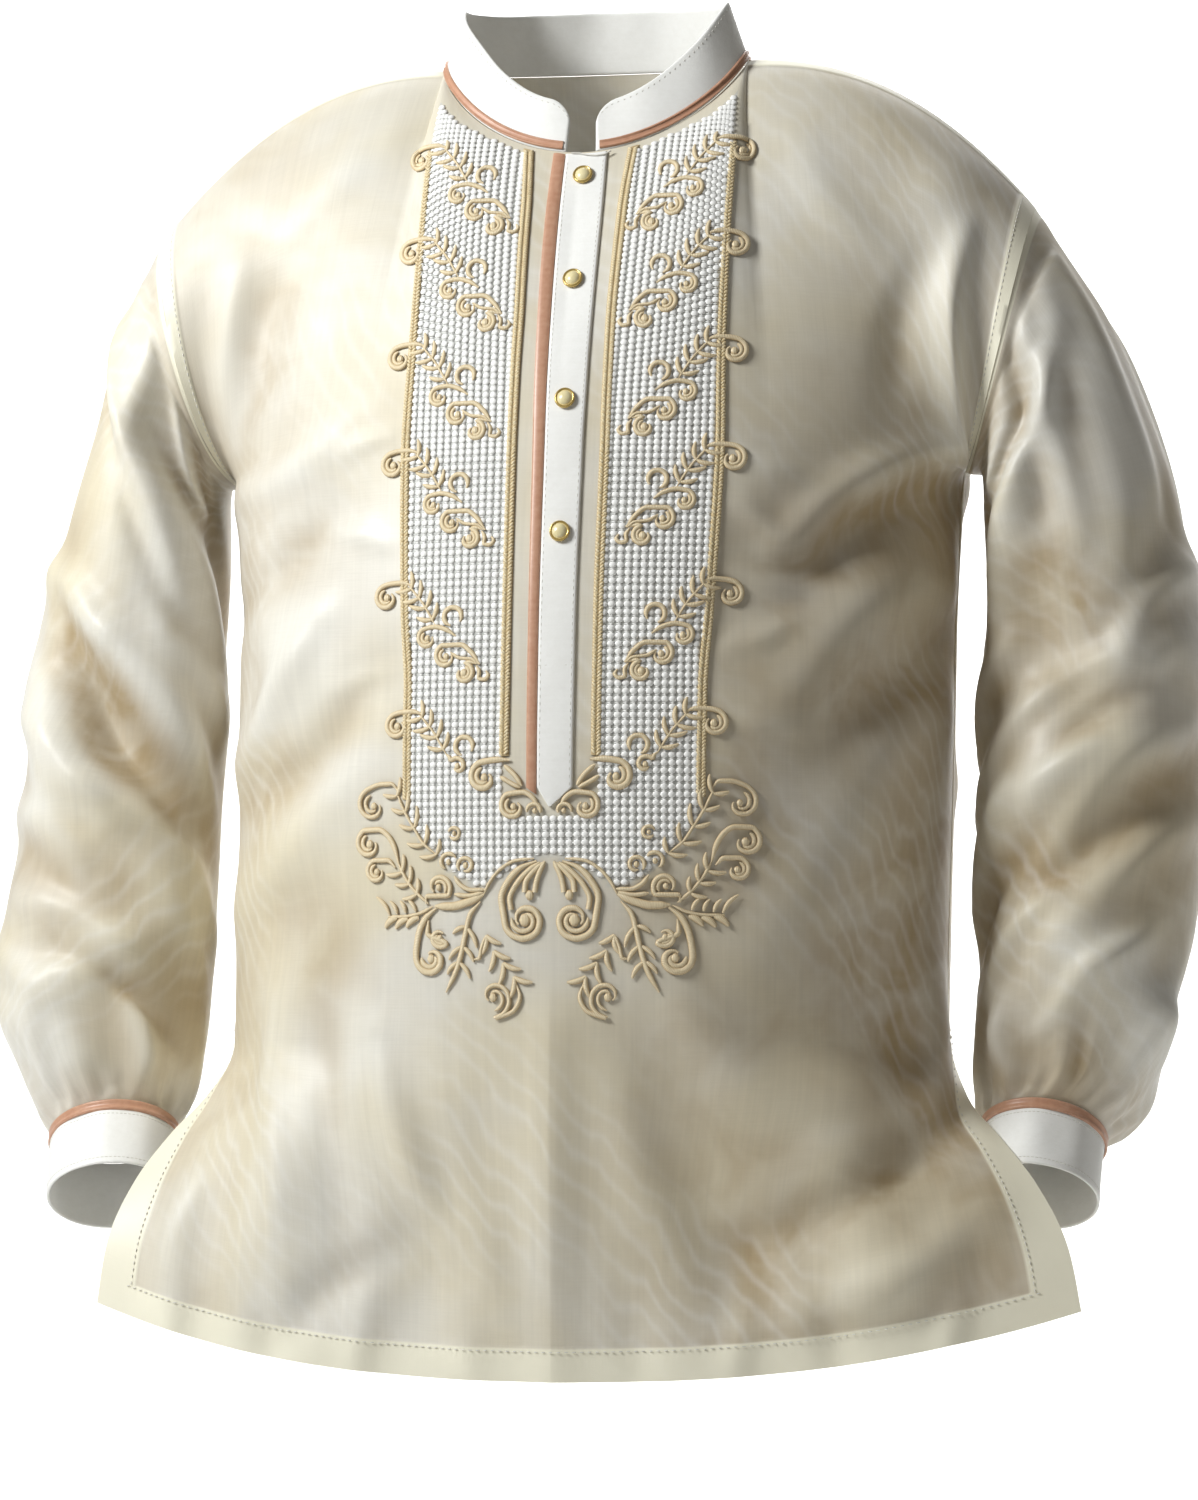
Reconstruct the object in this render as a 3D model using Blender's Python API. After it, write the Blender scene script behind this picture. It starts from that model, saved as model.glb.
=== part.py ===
"""A long-sleeved barong tagalog in its worn form: thin cloth walls, stand collar, half placket, embroidery.

Metres, +Z up. The front faces -Y and the wearer's left is +X. The origin is in the middle of the neck, level
with the side-neck points, where the wearer holds the shirt up.
"""
import math

import bpy
import numpy as np

# Cloth and seams
WALL = 0.0014            # thickness of a cloth wall
HEM_WALL = 0.0022        # the same where the hem and the slit facings are turned in
SEAM_GAP = 0.0003        # gap left between two pieces sewn together
SLIT_HALF = 0.0015       # half the front's centre slit, as a share of the half panel
BRAID_HALF = 0.0072      # half a braid's width, as a share of the half panel

# Heights
CHEST = -0.250           # the underarm points
SLIT_TOP = -0.592        # where the side seams end
HEM = -0.790             # the hem at the front's centre
SLIT_END = -0.415        # the foot of the front's centre slit
POINT_TOP = -0.4465      # where the placket starts to narrow to its point
POINT_TIP = -0.4575

# Neck and shoulder
NECK_HALF = 0.0935
NECK_FRONT = 0.066
NECK_BACK = 0.066
NECK_DROP = 0.062
NECK_RISE = 0.010
SHOULDER_HALF = 0.267
SHOULDER_DROP = 0.095
SHOULDER_Y = -0.012      # the shoulder seam lies a little in front of the top
SHOULDER_POWER = 2.2     # the shoulder is level by the neck and falls off towards the sleeve
NECK_POWER = 1.4
NECK_SHARE = 0.36        # share of each half panel's width that ends at the neck
ARMHOLE_MIDDLE = -0.172  # height of the armhole's middle

# The body's sections by height. Flat is how far a section is a shallow sheet instead of an oval.
FRONT = {
    "level": (-0.790, -0.750, -0.700, -0.659, -0.628, -0.592, -0.540, -0.450, -0.350, -0.250),
    "mid_x": (0.011, 0.009, 0.005, 0.000, -0.004, -0.007, -0.006, -0.004, -0.002, 0.0),
    "edge_x": (0.292, 0.286, 0.270, 0.250, 0.232, 0.2195, 0.2195, 0.220, 0.220, 0.223),
    "edge_y": (-0.128, -0.120, -0.101, -0.072, -0.037, 0.0, 0.0, 0.0, 0.0, 0.0),
    "depth": (0.158, 0.159, 0.161, 0.163, 0.164, 0.165, 0.167, 0.168, 0.160, 0.142),
    "flat": (1.0, 0.95, 0.80, 0.52, 0.22, 0.0, 0.0, 0.0, 0.0, 0.0),
}
BACK = {
    "level": FRONT["level"],
    "mid_x": FRONT["mid_x"],
    "edge_x": (0.238, 0.235, 0.231, 0.227, 0.223, 0.2195, 0.2195, 0.220, 0.220, 0.223),
    "edge_y": (0.070, 0.058, 0.043, 0.027, 0.012, 0.0, 0.0, 0.0, 0.0, 0.0),
    "depth": (0.166, 0.163, 0.160, 0.156, 0.152, 0.148, 0.143, 0.133, 0.126, 0.128),
    "flat": (0.85, 0.75, 0.60, 0.40, 0.18, 0.0, 0.0, 0.0, 0.0, 0.0),
}
CORNER_LIFT = 0.042      # how far the hem rises from the centre to a corner

# How a panel's columns meet the neck and shoulder: the y and z of each tangent
RISE = {
    "share": (0.0, 0.36, 1.0),
    "front_y": (0.10, 0.16, 0.22),
    "front_z": (0.19, 0.11, 0.05),
    "back_y": (-0.10, -0.14, -0.22),
    "back_z": (0.15, 0.12, 0.05),
}
ARMHOLE_BULGE = 0.25     # how far the armhole bows to the front and back

# Lines on the front, as shares of the half panel: the copper strip, the placket's edge and the braids
LINES = {
    "level": (-0.790, -0.592, -0.4575, -0.390, -0.340, -0.250, -0.190, -0.130, -0.060, 0.0),
    "strip": (0.022, 0.022, 0.0215, 0.022, 0.0225, 0.0225, 0.023, 0.023, 0.023, 0.022),
    "placket": (0.040, 0.040, 0.0390, 0.040, 0.0405, 0.0425, 0.044, 0.044, 0.043, 0.040),
    "inner": (0.085, 0.080, 0.079, 0.078, 0.078, 0.079, 0.077, 0.074, 0.074, 0.080),
    "outer": (0.300, 0.260, 0.257, 0.258, 0.268, 0.275, 0.273, 0.279, 0.296, 0.300),
}
SIDE_COLUMNS = (0.36, 0.46, 0.57, 0.68, 0.79, 0.89, 1.0)
HALF_BACK = (0.07, 0.14, 0.21, 0.28, *SIDE_COLUMNS)
BACK_COLUMNS = (*(-u for u in reversed(HALF_BACK)), 0.0, *HALF_BACK)
UPPER_ROWS = 10          # rows from the chest line to the neck and shoulder
FRONT_ROWS = (HEM, -0.770, -0.735, -0.695, -0.659, -0.626, SLIT_TOP, -0.562, -0.533, -0.505, -0.480, POINT_TIP,
              POINT_TOP, SLIT_END, -0.375, -0.335, -0.293, CHEST)
BACK_ROWS = (HEM, -0.770, -0.730, -0.685, -0.640, SLIT_TOP, -0.540, -0.480, -0.410, -0.330, CHEST)

# Large folds of each piece: two ends across and up the cloth, then half width and height
FRONT_FOLDS = {
    "x0": (0.0, -0.150, 0.165, -0.055, 0.075, 0.190, -0.190, -0.110, 0.120, 0.215),
    "z0": (-0.600, -0.640, -0.640, -0.660, -0.640, -0.270, -0.290, -0.560, -0.540, -0.100),
    "x1": (0.0, -0.175, 0.205, -0.095, 0.120, 0.110, -0.150, -0.180, 0.190, 0.225),
    "z1": (-0.780, -0.770, -0.760, -0.780, -0.770, -0.330, -0.400, -0.500, -0.440, -0.230),
    "width": (0.016, 0.030, 0.030, 0.026, 0.026, 0.024, 0.024, 0.026, 0.026, 0.020),
    "rise": (0.003, 0.005, 0.005, -0.004, -0.004, -0.004, 0.004, -0.003, 0.003, 0.004),
}
BACK_FOLDS = {
    "x0": (-0.150, -0.075, 0.010, 0.085, 0.155, 0.120, -0.130),
    "z0": (-0.500, -0.420, -0.480, -0.380, -0.520, -0.180, -0.200),
    "x1": (-0.165, -0.080, 0.005, 0.095, 0.175, 0.030, -0.050),
    "z1": (-0.780, -0.785, -0.785, -0.785, -0.780, -0.300, -0.340),
    "width": (0.022, 0.026, 0.024, 0.026, 0.022, 0.026, 0.024),
    "rise": (0.006, -0.006, 0.006, -0.006, 0.006, -0.005, 0.004),
}

# The sleeves, ring by ring from the armhole to the cuff's seam: the outermost and innermost points, the
# middle's y, the half depth and how far the ring leans forward in degrees
SLEEVE_LEFT = {
    "ring": (1, 2, 3, 4, 5, 6, 7, 8, 9, 10, 11, 12, 13),
    "out_x": (0.283, 0.309, 0.329, 0.350, 0.360, 0.3665, 0.366, 0.363, 0.357, 0.350, 0.342, 0.331, 0.309),
    "out_z": (-0.119, -0.160, -0.205, -0.268, -0.325, -0.380, -0.430, -0.478, -0.525, -0.568, -0.603, -0.630,
              -0.648),
    "in_x": (0.234, 0.2345, 0.2345, 0.2345, 0.2345, 0.234, 0.234, 0.235, 0.233, 0.232, 0.232, 0.235,
             0.238),
    "in_z": (-0.252, -0.262, -0.276, -0.303, -0.345, -0.390, -0.435, -0.482, -0.530, -0.572, -0.605, -0.628,
             -0.643),
    "mid_y": (0.000, 0.002, 0.004, 0.007, 0.008, 0.006, 0.001, -0.005, -0.012, -0.018, -0.023, -0.027,
              -0.030),
    "depth": (0.062, 0.065, 0.067, 0.068, 0.069, 0.070, 0.069, 0.067, 0.065, 0.061, 0.056, 0.047,
              0.036),
    "lean": (0, 0, 2, 4, 6, 9, 12, 16, 20, 24, 28, 31, 33),
}
SLEEVE_RIGHT = dict(
    SLEEVE_LEFT,
    out_x=(0.284, 0.302, 0.314, 0.333, 0.346, 0.354, 0.360, 0.3655, 0.370, 0.369, 0.361, 0.350, 0.336),
    out_z=(-0.122, -0.165, -0.212, -0.272, -0.328, -0.380, -0.430, -0.478, -0.528, -0.570, -0.603, -0.633,
           -0.653),
    in_x=(0.2345, 0.236, 0.236, 0.2365, 0.238, 0.238, 0.239, 0.240, 0.241, 0.242, 0.246, 0.252, 0.259),
)
SLEEVE_ROWS = (0, 0.5, 1, 1.6, 2.2, 2.9, 3.6, 4.2, 4.8, 5.3, 5.8, *(6.4 + 0.6 * k for k in range(12)))
CUFF_RING = SLEEVE_LEFT["ring"][-1]
RING_STEP = 0.045        # about how far apart two rings are along the sleeve
HALF_ROUND = 0.205       # half the sleeve's girth
# Sleeve folds run in metres round the sleeve (0 the inner side, 0.1 the front, 0.2 the outer side) and down it
LEFT_SLEEVE_FOLDS = {
    "x0": (0.150, 0.075, 0.185, 0.060, 0.140, 0.080, 0.250, 0.300, 0.150),
    "z0": (-0.060, -0.060, -0.250, -0.200, -0.360, -0.420, -0.120, -0.300, -0.460),
    "x1": (0.135, 0.060, 0.070, 0.100, 0.060, 0.150, 0.270, 0.220, 0.200),
    "z1": (-0.230, -0.200, -0.340, -0.290, -0.430, -0.490, -0.260, -0.400, -0.520),
    "width": (0.018, 0.018, 0.020, 0.020, 0.020, 0.018, 0.022, 0.022, 0.018),
    "rise": (0.004, 0.004, 0.006, -0.005, -0.005, 0.005, 0.004, 0.005, 0.005),
}
RIGHT_SLEEVE_FOLDS = {
    "x0": (0.150, 0.100, 0.190, 0.120, 0.160, 0.060, 0.250, 0.300, 0.180),
    "z0": (-0.060, -0.090, -0.240, -0.250, -0.360, -0.420, -0.130, -0.310, -0.470),
    "x1": (0.100, 0.050, 0.120, 0.080, 0.080, 0.140, 0.280, 0.220, 0.120),
    "z1": (-0.200, -0.280, -0.330, -0.360, -0.440, -0.480, -0.270, -0.420, -0.530),
    "width": (0.018, 0.018, 0.020, 0.020, 0.020, 0.018, 0.022, 0.022, 0.018),
    "rise": (0.004, 0.005, 0.006, -0.005, -0.005, 0.005, 0.004, 0.005, 0.005),
}
GATHERS = 7              # soft pleats where a sleeve is gathered into its cuff
GATHER_DEPTH = 0.0030

# Cuffs, collar, placket and trimmings
CUFF_HEIGHT = 0.046
CUFF_WALL = 0.0020
COLLAR_HEIGHT = 0.038
COLLAR_FRONT = 0.033     # the stand is lower at its front ends
COLLAR_WALL = 0.0020
COLLAR_LEAN = 0.34       # how far the stand leans in, as a share of its height
CORNER_ROUND = 0.016     # the rounded front corners
TRIM_HEIGHT = 0.0055
TRIM_WALL = 0.0013
CUFF_TRIM_HEIGHT = 0.0075
PLACKET_BASE = 0.0004
PLACKET_WALL = 0.0015
LACE_BASE = 0.0003
LACE_WALL = 0.0007
BRAID_WALL = 0.0008
BRAID_CROWN = 0.0003     # how far a braid's middle stands over its edges
STITCH_BASE = 0.0020     # the raised embroidery stands over the openwork and the braids
STITCH_WALL = 0.0009
BUTTON_X = 0.0034
BUTTON_Z = (-0.079, -0.1455, -0.219, -0.298)
BUTTON = {               # a button's turned profile from its back to the crown of its dome
    "radius": (0.0000, 0.0050, 0.0061, 0.0063, 0.0059, 0.0053, 0.0034, 0.0000),
    "height": (0.0000, 0.0000, 0.0006, 0.0013, 0.0019, 0.0020, 0.0031, 0.0036),
}

# The openwork's lower edge: half width in the panel's shares, and height
LACE_FOOT = {
    "share": (0.0, 0.040, 0.118, 0.160, 0.250, 0.300),
    "level": (-0.485, -0.490, -0.5045, -0.498, -0.468, -0.462),
}

# The six sprays a side: where each one's outer curl stands
SPRAYS = {
    "x": (0.1005, 0.1005, 0.1030, 0.1040, 0.1050, 0.0965),
    "z": (-0.0610, -0.1215, -0.1870, -0.2515, -0.3305, -0.4065),
    "full": (1, 1, 1, 1, 1, 0),
    "leaf": (0.45, 1.0, 1.0, 1.0, 1.0, 1.0),     # how long the leaf is that points up the braid
}
# A spray's spine from its outer curl inward, with the cloth covered above and below it, in millimetres
SPRAY_SPINE = {
    "x": (-6.0, -10.5, -15.5, -21.5, -28.5, -33.0, -38.0, -44.0, -50.0, -56.0),
    "z": (5.6, 5.6, 3.0, -2.5, -8.5, -13.0, -17.0, -19.3, -21.0, -25.0),
    "above": (1.5, 14.5, 5.5, 5.0, 4.0, 2.2, 1.8, 2.2, 2.2, 1.8),
    "below": (1.5, 3.0, 4.0, 4.5, 3.5, 2.0, 2.4, 2.6, 2.0, 1.7),
}


def spiral(x, z, start, end, first, last, steps):
    """Points in millimetres on a spiral round x, z: turned from start to end degrees as its radius changes."""
    turn = np.radians(np.linspace(start, end, steps))
    radius = np.linspace(first, last, steps)
    return [(x + r * math.cos(a), z + r * math.sin(a)) for r, a in zip(radius, turn)]


# The wreath's strokes for the wearer's left half, in millimetres from the front's centre line and the origin
WREATH = {
    "volute": [(4.0, -489), (13, -496), (23, -505), (28.5, -515)]
    + spiral(15.5, -523.0, 5, -390, 13.0, 3.6, 13),
    "scroll": [(38.5, -507.5), (48, -511.5), (57, -514.0)]
    + spiral(66.5, -504.5, -110, 215, 8.5, 3.2, 11),
    "branch": spiral(108.5, -456.5, -170, 95, 3.4, 6.4, 7)
    + [(100, -450.5), (93, -456), (86, -464), (78, -474), (69, -483)],
    "leaf": spiral(112.5, -480.5, 170, -75, 3.6, 7.4, 7)
    + [(106, -489.5), (98, -493), (90, -498.5), (82, -506)],
    "fall": [(101, -525.5), (90, -521), (79, -519.5), (79.5, -528)]
    + spiral(71.5, -545.0, 25, -290, 10.5, 3.4, 11),
    "stem": [(44.5, -515), (49.5, -526), (53, -540), (56, -552), (62, -564)],
    "drop": [(35.0, -515), (38.5, -526), (40.0, -538), (37.5, -548)]
    + spiral(28.8, -570.8, 62, 400, 13.5, 4.0, 14),
}
WREATH_WIDTH = {         # each stroke's greatest half width
    "volute": 2.3, "scroll": 1.8, "branch": 2.6, "leaf": 2.6, "fall": 2.0, "stem": 3.0, "drop": 2.2,
}
COMMA = spiral(38.0, -440.0, -170, 75, 3.4, 7.0, 7)
COMMA += [(32, -434), (25, -438), (20, -447), (14, -458.5), (6, -467)]


def hermite(start, end, leave, arrive, t):
    """A cubic from start to end with the given tangents."""
    return ((2 * t**3 - 3 * t**2 + 1) * start + (t**3 - 2 * t**2 + t) * leave
            + (3 * t**2 - 2 * t**3) * end + (t**3 - t**2) * arrive)


def along(table, name, at, key="level"):
    """Read one named column of a table as a smooth curve that never overshoots its rows."""
    keys = np.asarray(table[key], float)
    values = np.asarray(table[name], float)
    steps = np.diff(keys)
    rates = np.diff(values) / steps
    slopes = np.zeros_like(values)
    same = rates[:-1] * rates[1:] > 0
    slopes[1:-1][same] = 2 * rates[:-1][same] * rates[1:][same] / (rates[:-1] + rates[1:])[same]
    slopes[0], slopes[-1] = rates[0], rates[-1]
    at = np.clip(at, keys[0], keys[-1])
    cell = np.clip(np.searchsorted(keys, at, side="right") - 1, 0, len(keys) - 2)
    t = (at - keys[cell]) / steps[cell]
    leave, arrive = slopes[cell] * steps[cell], slopes[cell + 1] * steps[cell]
    return hermite(values[cell], values[cell + 1], leave, arrive, t)


def ease(t):
    """A soft step from 0 to 1."""
    t = np.clip(t, 0, 1)
    return t * t * (3 - 2 * t)


def unit(v):
    """Vectors brought to a length of 1."""
    return v / np.maximum(np.linalg.norm(v, axis=-1, keepdims=True), 1e-12)


def section(table, side, u, level):
    """A panel's section below the chest line. Side is -1 for the front and 1 for the back."""
    edge_x = along(table, "edge_x", level)
    edge_y = along(table, "edge_y", level)
    depth = side * along(table, "depth", level)
    flat = along(table, "flat", level)
    bend = u * math.pi / 2
    x = along(table, "mid_x", level) * u * u + edge_x * ((1 - flat) * np.sin(bend) + flat * u)
    y = edge_y + (depth - edge_y) * ((1 - flat) * np.cos(bend) + flat * (1 - u * u))
    below = ease((SLIT_TOP - level) / (SLIT_TOP - HEM))
    z = level + CORNER_LIFT * below * np.abs(u) ** 2.4
    return np.stack([x, y, z], -1)


def top_edge(side, u):
    """A panel's upper edge: half the neckline, then the shoulder seam."""
    share = np.abs(u)
    turn = np.clip(share / NECK_SHARE, 0, 1) * math.pi / 2
    run = np.clip((share - NECK_SHARE) / (1 - NECK_SHARE), 0, 1)
    reach = -NECK_FRONT if side < 0 else NECK_BACK
    drop = -NECK_DROP if side < 0 else NECK_RISE
    x = NECK_HALF * np.sin(turn) + (SHOULDER_HALF - NECK_HALF) * run
    y = SHOULDER_Y + (reach - SHOULDER_Y) * np.cos(turn)
    z = drop * np.cos(turn) ** NECK_POWER - SHOULDER_DROP * run ** SHOULDER_POWER
    return np.stack([np.sign(u) * x, y, z], -1)


def folds(table, across, up):
    """The height of the cloth's large folds at points given in metres across and up the panel."""
    height = np.zeros(np.broadcast(across, up).shape)
    for x0, z0, x1, z1, width, rise in zip(*(table[k] for k in ("x0", "z0", "x1", "z1", "width", "rise"))):
        run_x, run_z = x1 - x0, z1 - z0
        length = math.hypot(run_x, run_z)
        t = ((across - x0) * run_x + (up - z0) * run_z) / length**2
        near = np.clip(t, 0, 1)
        away = np.hypot(across - x0 - near * run_x, up - z0 - near * run_z) / width
        height = height + rise * np.exp(-away * away) * (0.35 + 0.65 * np.sin(math.pi * (0.1 + 0.8 * near)))
    return height


def panel(side, u, level):
    """A point of the front's or back's outer face without folds. U runs from -1 to 1 between the side seams."""
    u, level = np.broadcast_arrays(np.asarray(u, float), np.asarray(level, float))
    table = FRONT if side < 0 else BACK
    low = section(table, side, u, np.minimum(level, CHEST))
    t = np.clip((level - CHEST) / -CHEST, 0, 1)[..., None]
    start = section(table, side, u, np.full(u.shape, CHEST))
    before = section(table, side, u, np.full(u.shape, CHEST - 0.01))
    leave = (start - before) / 0.01 * 0.20
    outer = (np.abs(u) ** 5)[..., None]
    arm = np.stack([np.sign(u) * 0.05, np.full(u.shape, side * ARMHOLE_BULGE), np.full(u.shape, 0.01)], -1)
    leave = leave * (1 - outer) + arm * outer
    name = "front" if side < 0 else "back"
    share = np.abs(u)
    arrive = np.stack([np.zeros(u.shape), along(RISE, name + "_y", share, "share"),
                       along(RISE, name + "_z", share, "share")], -1)
    high = hermite(start, top_edge(side, u), leave, arrive, t)
    return np.where(t > 0, high, low)


def sheet_normals(points, wrap=False):
    """Normals of a grid of points, rows by columns."""
    down = np.gradient(points, axis=0)
    if wrap:
        padded = np.concatenate([points[:, -1:], points, points[:, :1]], 1)
        across = np.gradient(padded, axis=1)[:, 1:-1]
    else:
        across = np.gradient(points, axis=1)
    return unit(np.cross(across, down))


def front_columns(level):
    """Where the front's columns stand at one height: they follow the placket and the braids."""
    strip, placket, inner, outer = (float(along(LINES, k, level)) for k in list(LINES)[1:])
    inner_low, inner_high = inner - BRAID_HALF, inner + BRAID_HALF
    outer_low, outer_high = outer - BRAID_HALF, outer + BRAID_HALF
    between = [inner_high + (outer_low - inner_high) * k / 4 for k in (1, 2, 3)]
    half = [SLIT_HALF, strip, placket, inner_low, inner_high, *between, outer_low, outer_high, *SIDE_COLUMNS]
    return np.array([-u for u in reversed(half)] + half)


def panel_grid(side, levels):
    """The panel's coarse grid of outer points, with its seam edges drawn back, and the normals of its wall."""
    u = np.array([front_columns(v) if side < 0 else BACK_COLUMNS for v in levels])
    level = np.repeat(np.array(levels)[:, None], u.shape[1], 1)
    points = panel(side, u, level)
    table = FRONT_FOLDS if side < 0 else BACK_FOLDS
    smooth = sheet_normals(points) * -side
    free = level < SLIT_TOP - 0.001
    calm = ease((1 - np.abs(u)) / 0.12)
    calm = np.where(free, calm * 0.7 + 0.3, calm) * ease(-level / 0.05)
    points = points + smooth * (folds(table, points[..., 0], points[..., 2]) * calm)[..., None]
    normals = sheet_normals(points) * -side
    edge = np.abs(u) > 0.999
    seamed = edge & ~free
    hole = edge & (level > CHEST - 0.001)
    radial = unit(points * [0, 1, 1] - [0, 0, ARMHOLE_MIDDLE])
    under = hole & (level < CHEST + 0.001)
    normals = np.where(seamed[..., None], unit(normals * [1, 0, 1]), normals)
    normals = np.where(hole[..., None], unit(normals + radial), normals)
    slant = np.stack([np.sign(u), np.zeros(u.shape), -np.ones(u.shape)], -1)
    normals = np.where(under[..., None], unit(slant), normals)
    crest = (level > -0.001) & (np.abs(u) > NECK_SHARE - 0.001)
    normals = np.where(crest[..., None], unit(normals * [1, 0, 1]), normals)
    tip = crest & edge
    slope = np.stack([np.sign(u) * 0.35, np.zeros(u.shape), np.ones(u.shape)], -1)
    normals = np.where(tip[..., None], unit(slope), normals)
    half = SEAM_GAP / 2
    points[..., 1] += np.where(seamed & (level < CHEST + 0.001) | crest, side * half, 0.0)
    points[..., 0] -= np.where(hole, np.sign(u) * half, 0.0)
    return u, points, normals


def on_front(grid, u, level, height=0.0):
    """A point at a height over the front's own facets."""
    levels, columns, points, normals = grid
    levels = np.array(levels)
    level = np.clip(level, levels[0], levels[-1])
    row = np.clip(np.searchsorted(levels, level, side="right") - 1, 0, len(levels) - 2)
    s = (level - levels[row]) / (levels[row + 1] - levels[row])
    found, facing = [], []
    for r, k, v, h in np.broadcast(row, s, u, height):
        lines = columns[r] * (1 - k) + columns[r + 1] * k
        c = int(np.clip(np.searchsorted(lines, v, side="right") - 1, 0, len(lines) - 2))
        w = (v - lines[c]) / (lines[c + 1] - lines[c])
        if w >= k:
            corner = [(r, c, 1 - w), (r, c + 1, w - k), (r + 1, c + 1, k)]
        else:
            corner = [(r, c, 1 - k), (r + 1, c + 1, w), (r + 1, c, k - w)]
        out = unit(sum(normals[i, j] * q for i, j, q in corner))
        found.append(sum(points[i, j] * q for i, j, q in corner) + out * h)
        facing.append(out)
    shape = np.broadcast(row, s, u, height).shape
    return np.array(found).reshape(*shape, 3), np.array(facing).reshape(*shape, 3)


def pin(x, z):
    """The front's own coordinates of points given by their x and z."""
    x, z = np.asarray(x, float), np.asarray(z, float)
    u, level = x / 0.34, z.copy()
    for _ in range(12):
        level = np.clip(level, HEM, 0)
        here = panel(-1, u, level)
        wide = (panel(-1, u + 1e-4, level)[..., 0] - here[..., 0]) / 1e-4
        tall = (here[..., 2] - panel(-1, u, level - 1e-4)[..., 2]) / 1e-4
        u = u + (x - here[..., 0]) / wide
        level = level + (z - here[..., 2]) / tall
    return u, np.clip(level, HEM, -0.003)


def sleeve_ring(table, ring, turn):
    """A point of a sleeve for the wearer's left. Ring 1 is near the armhole, the last is the cuff's seam."""
    ring, turn = np.broadcast_arrays(np.asarray(ring, float), np.asarray(turn, float))
    none = np.zeros(ring.shape)
    out = np.stack([along(table, "out_x", ring, "ring"), none, along(table, "out_z", ring, "ring")], -1)
    inner = np.stack([along(table, "in_x", ring, "ring"), none, along(table, "in_z", ring, "ring")], -1)
    middle = (out + inner) / 2
    middle[..., 1] = along(table, "mid_y", ring, "ring")
    half = (out - inner) / 2
    lean = np.radians(along(table, "lean", ring, "ring"))
    depth = along(table, "depth", ring, "ring")
    ahead = np.stack([none, -depth * np.cos(lean), depth * np.sin(lean)], -1)
    point = middle - half * np.cos(turn)[..., None] + ahead * np.sin(turn)[..., None]
    return point, middle, np.cross(half, ahead)


def sleeve_folds(table, ring, turn):
    """The height of a sleeve's large folds, measured on the cloth in metres."""
    total = 0
    for lap in (-1, 0, 1):
        total = total + folds(table, (turn / math.pi + 2 * lap) * HALF_ROUND, -ring * RING_STEP)
    gather = ease((ring - CUFF_RING + 3.4) / 2.4) * (1 - 0.5 * ease((ring - CUFF_RING + 0.8) / 0.8))
    return total * ease(ring / 1.2) * ease(CUFF_RING - ring) + GATHER_DEPTH * gather * np.cos(GATHERS * turn)


def add_piece(name, points, faces, material, sharp=50):
    """A named mesh object, shaded smooth but for edges sharper than an angle in degrees."""
    mesh = bpy.data.meshes.new(name)
    mesh.from_pydata([tuple(map(float, p)) for p in points], [], faces)
    made = bpy.data.objects.new(name, mesh)
    bpy.context.scene.collection.objects.link(made)
    mesh.materials.append(material)
    mesh.shade_smooth()
    mesh.set_sharp_from_angle(angle=math.radians(sharp))


def shell(name, outer, inner, faces, material):
    """A closed wall from matching outer and inner points; faces index the outer ones, wound to face out."""
    count = len(outer)
    edges = set()
    for face in faces:
        edges.update(zip(face, face[1:] + face[:1]))
    rim = []
    for a, b in sorted(edges):
        if (b, a) in edges:
            continue
        if outer[a][2] > outer[b][2]:
            rim += [(b, a, b + count), (a, a + count, b + count)]
        else:
            rim += [(b, a, a + count), (b, a + count, b + count)]
    back = [tuple(i + count for i in reversed(face)) for face in faces]
    points = np.concatenate([outer, inner])
    every = list(faces) + back + rim
    used = sorted({i for face in every for i in face})
    place = {old: new for new, old in enumerate(used)}
    add_piece(name, points[used], [tuple(place[i] for i in face) for face in every], material)


def grid_faces(rows, columns, wrap=False, skip=(), flip=False):
    """Triangles of a grid, all cut along the same diagonal, with the cells in skip left out."""
    faces = []
    for i in range(rows - 1):
        for j in range(columns if wrap else columns - 1):
            if (i, j) in skip:
                continue
            k = (j + 1) % columns
            a, b, c, d = i * columns + j, i * columns + k, (i + 1) * columns + k, (i + 1) * columns + j
            for face in ((a, b, c), (a, c, d)):
                faces.append(face[::-1] if flip else face)
    return faces


def wall(name, outer, inner, material, wrap=False, skip=(), flip=False):
    """A closed wall from two matching grids of points."""
    rows, columns = outer.shape[:2]
    faces = grid_faces(rows, columns, wrap, skip, flip)
    shell(name, outer.reshape(-1, 3), inner.reshape(-1, 3), faces, material)


def patch(name, grid, shares, levels, base, thick, material, crown=0.0, skip=()):
    """A thin piece on the front: its grid of shares and levels, set out from the front's facets."""
    shares, levels = np.broadcast_arrays(np.asarray(shares, float), np.asarray(levels, float))
    columns = shares.shape[1]
    swell = crown * np.sin(math.pi * np.arange(columns) / (columns - 1)) * np.ones(shares.shape)
    outer, _ = on_front(grid, shares, levels, base + thick + swell)
    inner, _ = on_front(grid, shares, levels, base)
    wall(name, outer, inner, material, skip=skip)


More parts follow.
